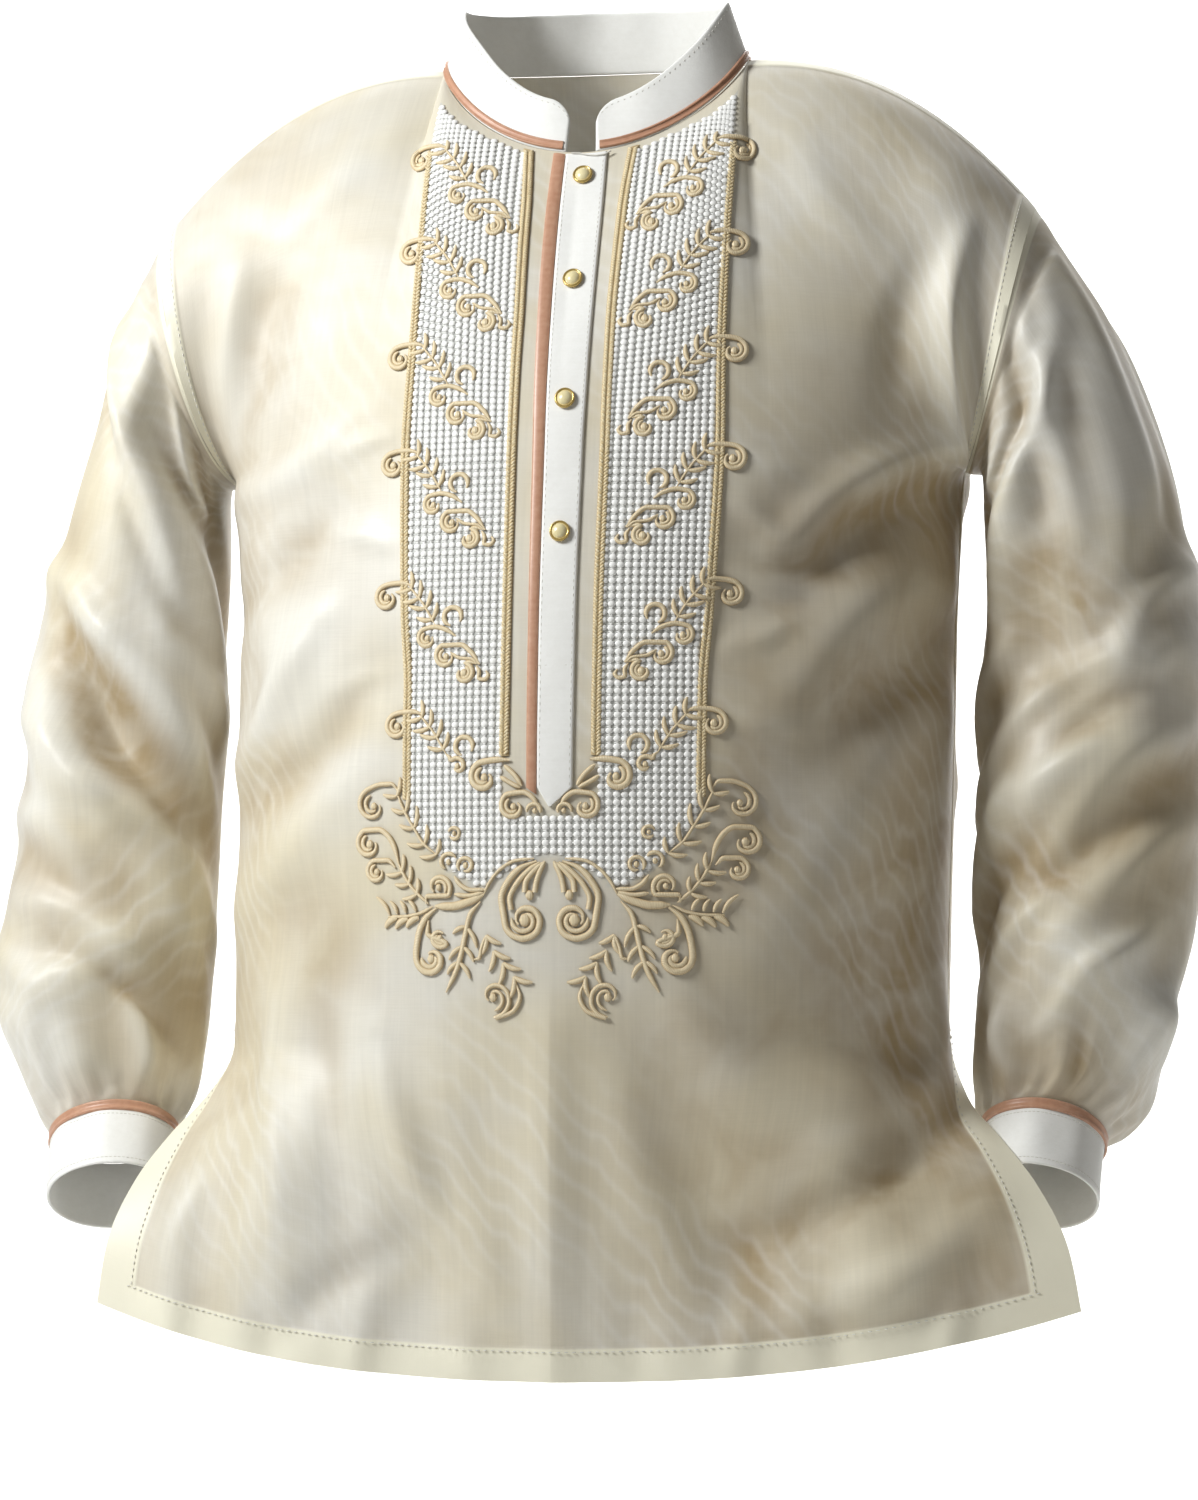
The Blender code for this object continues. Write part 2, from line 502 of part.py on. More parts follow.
def stroke(name, grid, path, above, below, hand, material):
    """A raised ribbon along a path in millimetres, with its reach to each side, on one half of the front."""
    path = np.asarray(path, float)
    run = unit(np.gradient(path, axis=0))
    side = np.stack([run[:, 1], -run[:, 0]], -1)
    rims = []
    for reach, taper in ((above, 1.0), (above, 0.6), (-below, 0.6), (-below, 1.0)):
        flat = (path + side * (reach * taper)[:, None]) / 1000
        rims.append(pin(hand * flat[:, 0], flat[:, 1]))
    low, high = STITCH_BASE, STITCH_BASE + STITCH_WALL
    ring = [on_front(grid, *rims[0], low)[0], on_front(grid, *rims[1], high)[0],
            on_front(grid, *rims[2], high)[0], on_front(grid, *rims[3], low)[0]]
    points = np.stack(ring, 1).reshape(-1, 3)
    count = len(path)
    faces = []
    for i in range(count - 1):
        for j in range(4):
            k = (j + 1) % 4
            faces.append((i * 4 + j, i * 4 + k, i * 4 + 4 + k, i * 4 + 4 + j))
    faces.append((3, 2, 1, 0))
    last = (count - 1) * 4
    faces.append((last, last + 1, last + 2, last + 3))
    if hand > 0:
        faces = [face[::-1] for face in faces]
    add_piece(name, points, faces, material)


def even(path, count):
    """A path drawn again as a smooth curve with evenly spaced points."""
    path = np.asarray(path, float)
    reach = np.concatenate([[0], np.cumsum(np.linalg.norm(np.diff(path, axis=0), axis=1))])
    table = {"at": reach, "x": path[:, 0], "z": path[:, 1]}
    at = np.linspace(0, reach[-1], count)
    return np.stack([along(table, "x", at, "at"), along(table, "z", at, "at")], -1)


def build_spray(name, grid, x, z, full, leaf, hand, material):
    """One leafy scroll: an outer curl, a leafy branch, then a comma that ends in a spiral."""
    curl = spiral(0, 0, -150, 105, 2.0, 4.9, 7)
    spine = SPRAY_SPINE if full else {k: v[:6] for k, v in SPRAY_SPINE.items()}
    path = curl + list(zip(spine["x"], spine["z"]))
    above = [1.1] * len(curl) + list(spine["above"])
    below = [1.1] * len(curl) + list(spine["below"])
    if full:
        end = spiral(-51.0, -36.0, 150, 430, 8.8, 3.4, 7)
        path, above, below = path + end, above + [1.4] * len(end), below + [1.4] * len(end)
    path = np.asarray(path) + [x * 1000, z * 1000]
    above = np.minimum(above, 2.0 + 12.5 * leaf)
    stroke(name, grid, path, above, np.asarray(below), hand, material)


def build_wreath(grid, material):
    """The scrolls below the openwork and the two commas at the placket's tip."""
    for piece, path in WREATH.items():
        path = even(path, max(len(path), 8))
        t = np.linspace(0, 1, len(path))
        width = WREATH_WIDTH[piece] * (0.4 + 0.6 * np.sin(math.pi * np.clip(t * 1.05, 0, 1)) ** 0.8)
        for side, hand in (("right", -1), ("left", 1)):
            stroke(f"wreath_{piece}_{side}", grid, path, width, width, hand, material)
    path = even(COMMA, 14)
    width = 1.2 + 0.8 * np.sin(math.pi * np.linspace(0, 1, 14))
    for side, hand in (("right", -1), ("left", 1)):
        stroke(f"tip_comma_{side}", grid, path, width, width, hand, material)


def build_button(name, grid, x, z, material):
    """A domed button, turned about the front's normal."""
    share, level = pin(x, z)
    seat, facing = on_front(grid, share, level, PLACKET_BASE + PLACKET_WALL + SEAM_GAP)
    facing = unit(facing.reshape(3))
    right = unit(np.cross([0, 0, 1.0], facing))
    up = np.cross(facing, right)
    sides = 12
    turn = np.arange(sides) * 2 * math.pi / sides
    points, faces = [seat.reshape(3)], []
    rings = list(zip(BUTTON["radius"], BUTTON["height"]))[1:-1]
    for radius, height in rings:
        for a in turn:
            spoke = right * math.cos(a) + up * math.sin(a)
            points.append(seat.reshape(3) + facing * height + spoke * radius)
    points.append(seat.reshape(3) + facing * BUTTON["height"][-1])
    for i in range(sides):
        k = (i + 1) % sides
        faces.append((0, 1 + k, 1 + i))
        for r in range(len(rings) - 1):
            a = 1 + r * sides
            faces.append((a + i, a + k, a + sides + k, a + sides + i))
        a = 1 + (len(rings) - 1) * sides
        faces.append((a + i, a + k, len(points) - 1))
    add_piece(name, points, faces, material, sharp=40)


def build_collar(front, back, white, copper):
    """The stand collar round both necklines, and the copper piping at its foot."""
    (levels, columns, points, _), (_, _, back_points, _) = front, back
    top = columns[-1]
    strip = float(along(LINES, "strip", 0.0))
    ahead = [i for i, u in enumerate(top) if strip - 1e-6 <= u <= NECK_SHARE + 1e-6]
    behind = [i for i, u in enumerate(BACK_COLUMNS) if -NECK_SHARE + 0.01 < u < NECK_SHARE - 0.01]
    mirror = len(top) - 1
    ring = [points[-1, mirror - i] for i in ahead] + [back_points[-1, i] for i in behind]
    ring += [points[-1, i] for i in reversed(ahead)]
    ring = np.array(ring)
    place = [0.0]
    for a, b in zip(ring, ring[1:]):
        place.append(place[-1] + float(np.linalg.norm(b - a)))
    place = np.array(place)
    ends = np.array([0.004, 0.009])
    at = np.unique(np.round(np.concatenate([place, ends, place[-1] - ends]), 6))
    foot = np.stack([np.interp(at, place, ring[:, k]) for k in range(3)], -1)
    centre = np.array([0.0, SHOULDER_Y, 0.0])
    out = unit((foot - centre) * [1, 1, 0])
    rise = unit(np.array([0, 0, 1.0]) - out * COLLAR_LEAN)
    end = np.minimum(at, place[-1] - at)
    high = COLLAR_FRONT + (COLLAR_HEIGHT - COLLAR_FRONT) * ease((end - 0.02) / 0.08)
    short = np.clip(1 - end / CORNER_ROUND, 0, 1)
    high = high - CORNER_ROUND * (1 - np.sqrt(1 - short**2 * 0.97))
    base = foot + np.array([0, 0, 0.0004])
    outer = np.stack([base + rise * (high * s)[:, None] for s in (0.0, 0.33, 0.67, 1.0)])
    facing = -sheet_normals(outer)
    if np.sum(facing[1, len(at) // 2] * out[len(at) // 2]) < 0:
        facing = -facing
    inner = outer - facing * COLLAR_WALL
    flip = np.sum(np.cross(outer[0, 1] - outer[0, 0], outer[1, 0] - outer[0, 0]) * out[0]) < 0
    wall("collar", outer, inner, white, flip=flip)
    keep = slice(1, -1)
    lift = 0.0012 + TRIM_HEIGHT * np.array([0.0, 0.5, 1.0])
    swell = np.array([0.7, 1.0, 0.7]) * TRIM_WALL
    side = facing[1]
    rows = [base + rise * h + side * (SEAM_GAP + w) for h, w in zip(lift, swell)]
    under = [base + rise * h + side * SEAM_GAP for h in lift]
    wall("collar_trim", np.stack(rows)[:, keep], np.stack(under)[:, keep], copper, flip=flip)


def build_placket(grid, white, copper):
    """The placket band with its pointed foot, the copper strip beside it and the button stand inside."""
    levels = np.array([POINT_TIP] + [v for v in grid[0] if POINT_TOP - 1e-6 <= v < -0.02] + [-0.003])
    band, strip, stand, strip_levels = [], [], [], []
    gap = 0.0006
    for v in levels:
        s, p = float(along(LINES, "strip", v)), float(along(LINES, "placket", v))
        narrow = 0.10 if v < POINT_TOP - 1e-6 else 1.0
        row = np.array([-s + gap, -SLIT_HALF, SLIT_HALF, s, p])
        middle = (p - s) * 0.1
        band.append(middle + (row - middle) * narrow)
        if v > POINT_TOP - 1e-6:
            strip.append([-p, -s - gap])
            strip_levels.append([v, v - (0.004 if v < POINT_TOP + 1e-6 else 0.0)])
        if v > SLIT_END - 1e-6:
            stand.append([-p * 0.9, -SLIT_HALF, SLIT_HALF, p * 0.9])
    patch("placket", grid, band, levels[:, None], PLACKET_BASE, PLACKET_WALL, white)
    patch("placket_trim", grid, strip, strip_levels, PLACKET_BASE, PLACKET_WALL * 0.9, copper)
    inside = levels[levels > SLIT_END - 1e-6]
    inside[-1] -= 0.004
    deep = WALL + PLACKET_BASE + PLACKET_WALL * 0.9
    patch("placket_under", grid, stand, inside[:, None], -deep, PLACKET_WALL * 0.9, white)


def build_lace(grid, lace, gold):
    """The openwork panel, a U round the placket, and the four braids along its sides."""
    levels = [v for v in grid[0] if POINT_TOP - 1e-6 <= v < -0.02] + [-0.008]
    clear = 0.0010
    rows, heights = [], []
    for k, v in enumerate([None, None] + levels):
        level = POINT_TOP if v is None else v
        lines = front_columns(level)
        middle = len(lines) // 2
        half = lines[middle:middle + 9]
        half = np.concatenate([half[:4], [half[4] + clear], half[5:8], [half[8] - clear]])
        row = np.concatenate([-half[::-1], half])
        rows.append(row)
        foot = np.interp(np.abs(row), LACE_FOOT["share"], LACE_FOOT["level"])
        if k == 0:
            heights.append(foot)
        elif k == 1:
            below_tip = np.where(np.abs(row) < 0.05, POINT_TIP - 0.005, 0)
            heights.append(np.minimum(POINT_TOP + (foot - POINT_TOP) * 0.42, below_tip))
        elif k == len(levels) + 1:
            heights.append(level - 0.016 * ease((np.abs(row) - 0.12) / 0.16))
        else:
            heights.append(np.full(row.shape, level))
    count = rows[0].size
    inner = [j for j in range(count - 1) if 4 <= j < count - 5]
    skip = {(i, j) for i in range(1, len(rows) - 1) for j in inner}
    patch("calado_panel", grid, rows, heights, LACE_BASE, LACE_WALL, lace, skip=skip)
    for name, line, top, foot in (("inner", "inner", -0.004, -0.428), ("outer", "outer", -0.066, -0.452)):
        run = [foot] + [v for v in grid[0] if foot + 0.006 < v < top - 0.006] + [top]
        for side, hand in (("right", -1), ("left", 1)):
            shares = []
            for v in run:
                at = float(along(LINES, line, v))
                shares.append(sorted(hand * (at + BRAID_HALF * w) for w in (-0.9, 0, 0.9)))
            heights = np.array(run)[:, None]
            patch(f"braid_{name}_{side}", grid, shares, heights, LACE_BASE, BRAID_WALL, gold, BRAID_CROWN)


def build_sleeves(front, back, sheer, white, copper):
    """Two sleeves from the armholes to their gathered ends, each with its cuff."""
    (levels, _, points, normals), (back_levels, _, back_points, back_normals) = front, back
    first, second = levels.index(CHEST), back_levels.index(CHEST)
    turn = np.arange(2 * UPPER_ROWS) * math.pi / UPPER_ROWS
    for name, table, creases, hand in (("left", SLEEVE_LEFT, LEFT_SLEEVE_FOLDS, 1),
                                       ("right", SLEEVE_RIGHT, RIGHT_SLEEVE_FOLDS, -1)):
        edge = -1 if hand > 0 else 0
        hole = np.concatenate([points[first:, edge], back_points[second:, edge][::-1][1:-1]]) * [hand, 1, 1]
        facing = np.concatenate([normals[first:, edge], back_normals[second:, edge][::-1][1:-1]]) * [hand, 1, 1]
        hole[0, 1], hole[UPPER_ROWS, 1] = 0.0, SHOULDER_Y
        hole[:, 0] += SEAM_GAP
        rows, axis = [], None
        for ring in SLEEVE_ROWS:
            point, middle, down = sleeve_ring(table, max(ring, 1), turn)
            bump = sleeve_folds(creases, ring, turn)
            point = point + unit(point - middle) * bump[:, None]
            rows.append(hole * (1 - min(ring, 1)) + point * min(ring, 1))
            axis = unit(down[0])
        outer = np.stack(rows)
        face = -sheet_normals(outer, True)
        face[0] = facing
        rim = unit(outer[-1] - outer[-1].mean(0))
        face[-1] = unit(rim - axis * np.sum(rim * axis, -1, keepdims=True))
        inner = outer - face * WALL
        scale = np.array([hand, 1, 1])
        wall(f"sleeve_{name}", outer * scale, inner * scale, sheer, wrap=True, flip=hand > 0)
        build_cuff(name, outer[-1], face[-1], axis, scale, white, copper)


def build_cuff(name, seam, face, axis, scale, white, copper):
    """A cuff hung on the sleeve's last ring, with copper piping round its top."""
    flip = scale[0] > 0
    rows = [seam + axis * (SEAM_GAP + CUFF_HEIGHT * s) + face * (0.0004 + 0.0010 * s) for s in (0, 1)]
    outer = np.stack(rows)
    inner = outer - face * CUFF_WALL
    wall(f"cuff_{name}", outer * scale, inner * scale, white, wrap=True, flip=flip)
    skin = 0.0004 + SEAM_GAP
    rows = []
    for s, w in ((0.0, 0.6), (0.5, 1.0), (1.0, 0.6)):
        down = SEAM_GAP + 0.0002 + CUFF_TRIM_HEIGHT * s
        rows.append(seam + axis * down + face * (skin + 0.0002 + TRIM_WALL * w))
    outer = np.stack(rows)
    inner = np.stack([seam + axis * (SEAM_GAP + 0.0002 + CUFF_TRIM_HEIGHT * s) + face * (skin + 0.0002)
                      for s in (0.0, 0.5, 1.0)])
    wall(f"cuff_trim_{name}", outer * scale, inner * scale, copper, wrap=True, flip=flip)


def material(name, colour, roughness, metallic=0.0):
    """A plain finish for one kind of cloth, thread or metal."""
    made = bpy.data.materials.new(name)
    made.use_nodes = True
    shader = made.node_tree.nodes["Principled BSDF"]
    shader.inputs["Base Color"].default_value = (*colour, 1)
    shader.inputs["Roughness"].default_value = roughness
    shader.inputs["Metallic"].default_value = metallic
    return made


def build_panels(sheer):
    """The front, slit from the neck to the placket's foot, and the back."""
    upper = [CHEST * (1 - k / UPPER_ROWS) for k in range(1, UPPER_ROWS + 1)]
    made = []
    for side, name, rows in ((-1, "front", FRONT_ROWS), (1, "back", BACK_ROWS)):
        levels = list(rows) + upper
        u, points, normals = panel_grid(side, levels)
        level = np.repeat(np.array(levels)[:, None], u.shape[1], 1)
        doubled = (level < HEM + 0.021) | ((level < SLIT_TOP - 0.02) & (np.abs(u) > 0.99))
        inner = points - normals * np.where(doubled, HEM_WALL, WALL)[..., None]
        skip = set()
        if side < 0:
            middle = u.shape[1] // 2 - 1
            skip = {(i, middle) for i, v in enumerate(levels[:-1]) if v > SLIT_END - 1e-6}
        wall(name, points, inner, sheer, skip=skip, flip=side > 0)
        made.append((levels, u, points, normals))
    return made


def build():
    """Clear the scene, then build the shirt from the large panels to the trimmings."""
    for old in list(bpy.data.objects):
        bpy.data.objects.remove(old)
    sheer = material("sheer_cloth", (0.88, 0.85, 0.76), 0.55)
    white = material("white_cloth", (0.86, 0.86, 0.83), 0.60)
    lace = material("white_openwork", (0.90, 0.90, 0.87), 0.65)
    copper = material("copper_piping", (0.55, 0.33, 0.24), 0.45)
    gold = material("gold_braid", (0.70, 0.56, 0.34), 0.50)
    thread = material("gold_thread", (0.72, 0.59, 0.38), 0.55)
    brass = material("gilt_button", (0.83, 0.70, 0.42), 0.30, 0.8)
    front, back = build_panels(sheer)
    build_sleeves(front, back, sheer, white, copper)
    build_collar(front, back, white, copper)
    build_placket(front, white, copper)
    build_lace(front, lace, gold)
    for side, hand in (("right", -1), ("left", 1)):
        for k, row in enumerate(zip(*(SPRAYS[c] for c in ("x", "z", "full", "leaf")))):
            build_spray(f"spray_{side}_{k + 1}", front, *row, hand, thread)
    build_wreath(front, thread)
    for k, z in enumerate(BUTTON_Z):
        build_button(f"button_{k + 1}", front, BUTTON_X, z, brass)


build()
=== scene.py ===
"""The looks of a worn barong tagalog: creased thin cloth, drawn-thread openwork, braids and embroidery.

Metres, +Z up. The front faces -Y and the wearer's left is +X. The origin is in the middle of the neck.
"""
import math

import bpy
import numpy as np
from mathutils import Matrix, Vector


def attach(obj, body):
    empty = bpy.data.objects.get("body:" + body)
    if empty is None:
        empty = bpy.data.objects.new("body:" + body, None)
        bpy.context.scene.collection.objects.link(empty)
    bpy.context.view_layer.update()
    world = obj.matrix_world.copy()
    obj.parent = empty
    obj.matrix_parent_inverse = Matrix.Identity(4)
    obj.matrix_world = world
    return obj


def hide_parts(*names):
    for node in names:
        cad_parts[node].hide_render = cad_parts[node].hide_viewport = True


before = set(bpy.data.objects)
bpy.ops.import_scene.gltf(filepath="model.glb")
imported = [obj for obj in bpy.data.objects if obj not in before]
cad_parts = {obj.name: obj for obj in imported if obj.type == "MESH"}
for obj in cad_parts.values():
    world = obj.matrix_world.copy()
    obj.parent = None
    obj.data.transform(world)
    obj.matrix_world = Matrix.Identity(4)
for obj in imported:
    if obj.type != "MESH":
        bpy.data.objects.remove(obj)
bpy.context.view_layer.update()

# Cloth and seams
THIN = 0.0005            # thickness of the sheer cloth
SEAM_GAP = 0.0003
HEM_DEPTH = 0.020        # depth of the doubled hem
FACING_DEPTH = 0.022     # depth of the doubled slit facings
STITCH_PITCH = 0.0045
STITCH_SIZE = (0.0024, 0.0006, 0.0005)

# Heights
CHEST = -0.250           # the underarm points
SLIT_TOP = -0.592        # where the side seams end
HEM = -0.790
SLIT_END = -0.415        # the foot of the front's centre slit
POINT_TOP = -0.4465
POINT_TIP = -0.4575

# Neck and shoulder
NECK_HALF = 0.0935
NECK_FRONT = 0.066
NECK_BACK = 0.066
NECK_DROP = 0.062
NECK_RISE = 0.010
NECK_POWER = 1.4
SHOULDER_HALF = 0.267
SHOULDER_DROP = 0.095
SHOULDER_POWER = 2.2
SHOULDER_Y = -0.012
NECK_SHARE = 0.36        # share of each half panel's width that ends at the neck
ARMHOLE_BULGE = 0.25
ARMHOLE_MIDDLE = -0.172

# The body's sections by height. Flat is how far a section is a shallow sheet instead of an oval.
FRONT = {
    "level": (-0.790, -0.750, -0.700, -0.659, -0.628, -0.592, -0.540, -0.450, -0.350, -0.250),
    "mid_x": (0.011, 0.009, 0.005, 0.000, -0.004, -0.007, -0.006, -0.004, -0.002, 0.0),
    "edge_x": (0.292, 0.286, 0.270, 0.250, 0.232, 0.2195, 0.2195, 0.220, 0.220, 0.223),
    "edge_y": (-0.128, -0.120, -0.101, -0.072, -0.037, 0.0, 0.0, 0.0, 0.0, 0.0),
    "depth": (0.158, 0.159, 0.161, 0.163, 0.164, 0.165, 0.167, 0.168, 0.160, 0.142),
    "flat": (1.0, 0.95, 0.80, 0.52, 0.22, 0.0, 0.0, 0.0, 0.0, 0.0),
}
BACK = {
    "level": FRONT["level"],
    "mid_x": FRONT["mid_x"],
    "edge_x": (0.238, 0.235, 0.231, 0.227, 0.223, 0.2195, 0.2195, 0.220, 0.220, 0.223),
    "edge_y": (0.070, 0.058, 0.043, 0.027, 0.012, 0.0, 0.0, 0.0, 0.0, 0.0),
    "depth": (0.166, 0.163, 0.160, 0.156, 0.152, 0.148, 0.143, 0.133, 0.126, 0.128),
    "flat": (0.85, 0.75, 0.60, 0.40, 0.18, 0.0, 0.0, 0.0, 0.0, 0.0),
}
CORNER_LIFT = 0.042
RISE = {
    "share": (0.0, 0.36, 1.0),
    "front_y": (0.10, 0.16, 0.22),
    "front_z": (0.19, 0.11, 0.05),
    "back_y": (-0.10, -0.14, -0.22),
    "back_z": (0.15, 0.12, 0.05),
}

# Lines on the front, as shares of the half panel: the copper strip, the placket's edge and the braids
LINES = {
    "level": (-0.790, -0.592, -0.4575, -0.390, -0.340, -0.250, -0.190, -0.130, -0.060, 0.0),
    "strip": (0.022, 0.022, 0.0215, 0.022, 0.0225, 0.0225, 0.023, 0.023, 0.023, 0.022),
    "placket": (0.040, 0.040, 0.0390, 0.040, 0.0405, 0.0425, 0.044, 0.044, 0.043, 0.040),
    "inner": (0.085, 0.080, 0.079, 0.078, 0.078, 0.079, 0.077, 0.074, 0.074, 0.080),
    "outer": (0.300, 0.260, 0.257, 0.258, 0.268, 0.275, 0.273, 0.279, 0.296, 0.300),
}
SLIT_HALF = 0.0015
LACE_FOOT = {
    "share": (0.0, 0.040, 0.118, 0.160, 0.250, 0.300),
    "level": (-0.485, -0.490, -0.5045, -0.498, -0.468, -0.462),
}

CREASE_GAIN = 1.7
SLEEVE_GAIN = 1.75

# Creases in millimetres: two ends across and up the cloth, how far the middle bows aside, half width, height
FRONT_CREASES = (
    # the large folds
    (0, -600, 0, -780, 0, 16, 3), (-150, -640, -175, -770, 6, 30, 5), (165, -640, 205, -760, 6, 30, 5),
    (-55, -660, -95, -780, 0, 26, -4), (75, -640, 120, -770, 0, 26, -4), (190, -270, 110, -330, 8, 24, -4),
    (-190, -290, -150, -400, 8, 24, 4), (-110, -560, -180, -500, 0, 26, -3),
    (120, -540, 190, -440, 0, 26, 3), (215, -100, 225, -230, 4, 20, 4),
    # pulled from the underarms
    (226, -240, 134, -302, 10, 13, 5.2), (222, -268, 150, -322, 8, 14, -4.5),
    (220, -315, 140, -386, 10, 17, 3.8), (216, -352, 165, -410, 0, 15, -3),
    (213, -392, 172, -446, 4, 18, 3), (-212, -262, -130, -222, 10, 14, 3.4),
    (-210, -330, -142, -282, 6, 15, -3.4), (-208, -420, -150, -345, 6, 12, 4.4),
    (-195, -448, -118, -388, 10, 16, -4.5), (-205, -505, -140, -455, 4, 18, 3.6),
    # by the arm and over the shoulder
    (228, -122, 222, -236, 5, 9, 4.6), (205, -130, 190, -215, 4, 12, -3),
    (-212, -135, -214, -230, 4, 12, 3.4), (-170, -110, -195, -190, 6, 16, -2.2),
    (130, -60, 185, -130, 8, 14, 1.6), (-125, -55, -180, -120, 8, 14, 1.6),
    # the skirt of the front
    (-108, -590, -64, -702, 4, 12, 4), (-177, -575, -166, -680, 3, 12, 4.2),
    (-143, -560, -128, -690, 3, 13, -3.6), (-60, -640, -30, -745, 4, 14, 2.2),
    (150, -745, 236, -700, 10, 18, 6), (125, -705, 226, -640, 10, 17, -4.6),
    (208, -560, 216, -625, 2, 9, 4), (180, -520, 196, -610, 3, 14, -3), (70, -560, 150, -640, 12, 18, 3),
    (40, -620, 75, -720, 6, 15, 2.2), (-215, -660, -240, -745, 4, 13, 3.6),
    (-105, -720, -160, -765, 6, 14, -3),
    # short ripples above the hem
    (-235, -785, -228, -735, 0, 10, 2.2), (-170, -788, -176, -742, 0, 12, -2),
    (-120, -790, -112, -748, 0, 10, 1.8), (-48, -790, -54, -752, 0, 11, 1.4),
    (52, -790, 46, -744, 0, 12, -1.6), (104, -789, 112, -750, 0, 10, 1.8),
    (168, -785, 160, -748, 0, 11, -1.8), (226, -780, 232, -740, 0, 10, 2),
    # puckers beside the braids, where the embroidery draws the cloth in
    (108, -252, 142, -262, 2, 6, 1.6), (110, -283, 136, -302, 2, 6, 1.4),
    (109, -322, 146, -328, 3, 7, 1.7), (107, -362, 131, -352, 2, 6, 1.3),
    (106, -402, 140, -412, 2, 7, 1.5), (-106, -236, -132, -246, 2, 6, 1.2),
    (-107, -300, -136, -292, 2, 6, 1.4), (-106, -378, -130, -386, 2, 6, 1.2),
)
BACK_CREASES = (
    (-150, -500, -165, -780, 6, 22, 6), (-75, -420, -80, -785, 4, 26, -6), (10, -480, 5, -785, 4, 24, 6),
    (85, -380, 95, -785, 6, 26, -6), (155, -520, 175, -780, 4, 22, 6), (120, -180, 30, -300, 10, 26, -5),
    (-130, -200, -50, -340, 10, 24, 4), (-214, -262, -120, -330, 10, 14, 4.4),
    (-208, -300, -130, -372, 8, 14, -3.6), (214, -262, 112, -342, 10, 14, 4.4),
    (206, -306, 130, -390, 8, 15, -3.6), (-205, -420, -110, -470, 10, 15, 3.4),
    (205, -440, 105, -500, 10, 16, 3.6), (-60, -480, 50, -500, 10, 14, 2.4),
    (40, -430, -50, -445, 8, 12, -2), (-190, -530, -130, -600, 6, 14, 3), (190, -540, 140, -620, 6, 13, 3),
    (60, -100, 75, -220, 4, 14, 2.2), (-60, -100, -85, -210, 4, 14, 2.2),
    (-212, -130, -214, -235, 4, 12, 3.4), (216, -125, 214, -240, 4, 12, 3.4),
)
# On a sleeve, across runs round it (0 the inner side, 100 the front, 200 the outer side)
LEFT_CREASES = (
    (128, -70, 40, -240, 16, 14, 5.6), (100, -80, 10, -215, 14, 12, -4.4),
    (165, -195, 60, -300, -14, 13, -5), (120, -318, 10, -388, 12, 13, 5.5),
    (150, -60, 135, -230, 4, 18, 4), (75, -60, 60, -200, 4, 18, 4), (185, -250, 70, -340, 12, 20, 6),
    (60, -200, 100, -290, 0, 20, -5), (140, -360, 60, -430, 8, 20, -5), (80, -420, 150, -490, 0, 18, 5),
    (250, -120, 270, -260, 0, 22, 4), (300, -300, 220, -400, 0, 22, 5), (150, -460, 200, -520, 0, 18, 5),
    (118, -30, 104, -190, 6, 9, 4), (96, -40, 84, -170, 4, 8, -3), (168, -50, 162, -200, 6, 10, 3.4),
    (55, -80, 40, -190, 4, 9, 4), (195, -215, 120, -262, 12, 9, 5), (120, -262, 20, -340, 10, 10, 5.5),
    (150, -275, 55, -352, 8, 9, -4.5), (170, -300, 90, -375, 10, 10, 4), (50, -250, 10, -300, 4, 9, 4),
    (185, -350, 110, -415, 8, 11, 4), (100, -400, 35, -455, 6, 10, 4), (60, -380, 15, -420, 4, 9, -3.4),
    (150, -430, 95, -500, 6, 9, 3.6), (190, -440, 160, -530, 4, 10, 4), (50, -470, 65, -545, 3, 8, 3.6),
    (120, -500, 122, -560, 2, 7, -3), (260, -200, 330, -280, 10, 12, 4.5),
    (340, -240, 270, -340, 10, 12, 4.5), (300, -400, 250, -480, 6, 11, 4),
    (370, -330, 320, -440, 6, 12, -3.5), (240, -60, 235, -180, 4, 10, 3.4),
    (330, -70, 345, -190, 4, 11, 3.4),
)
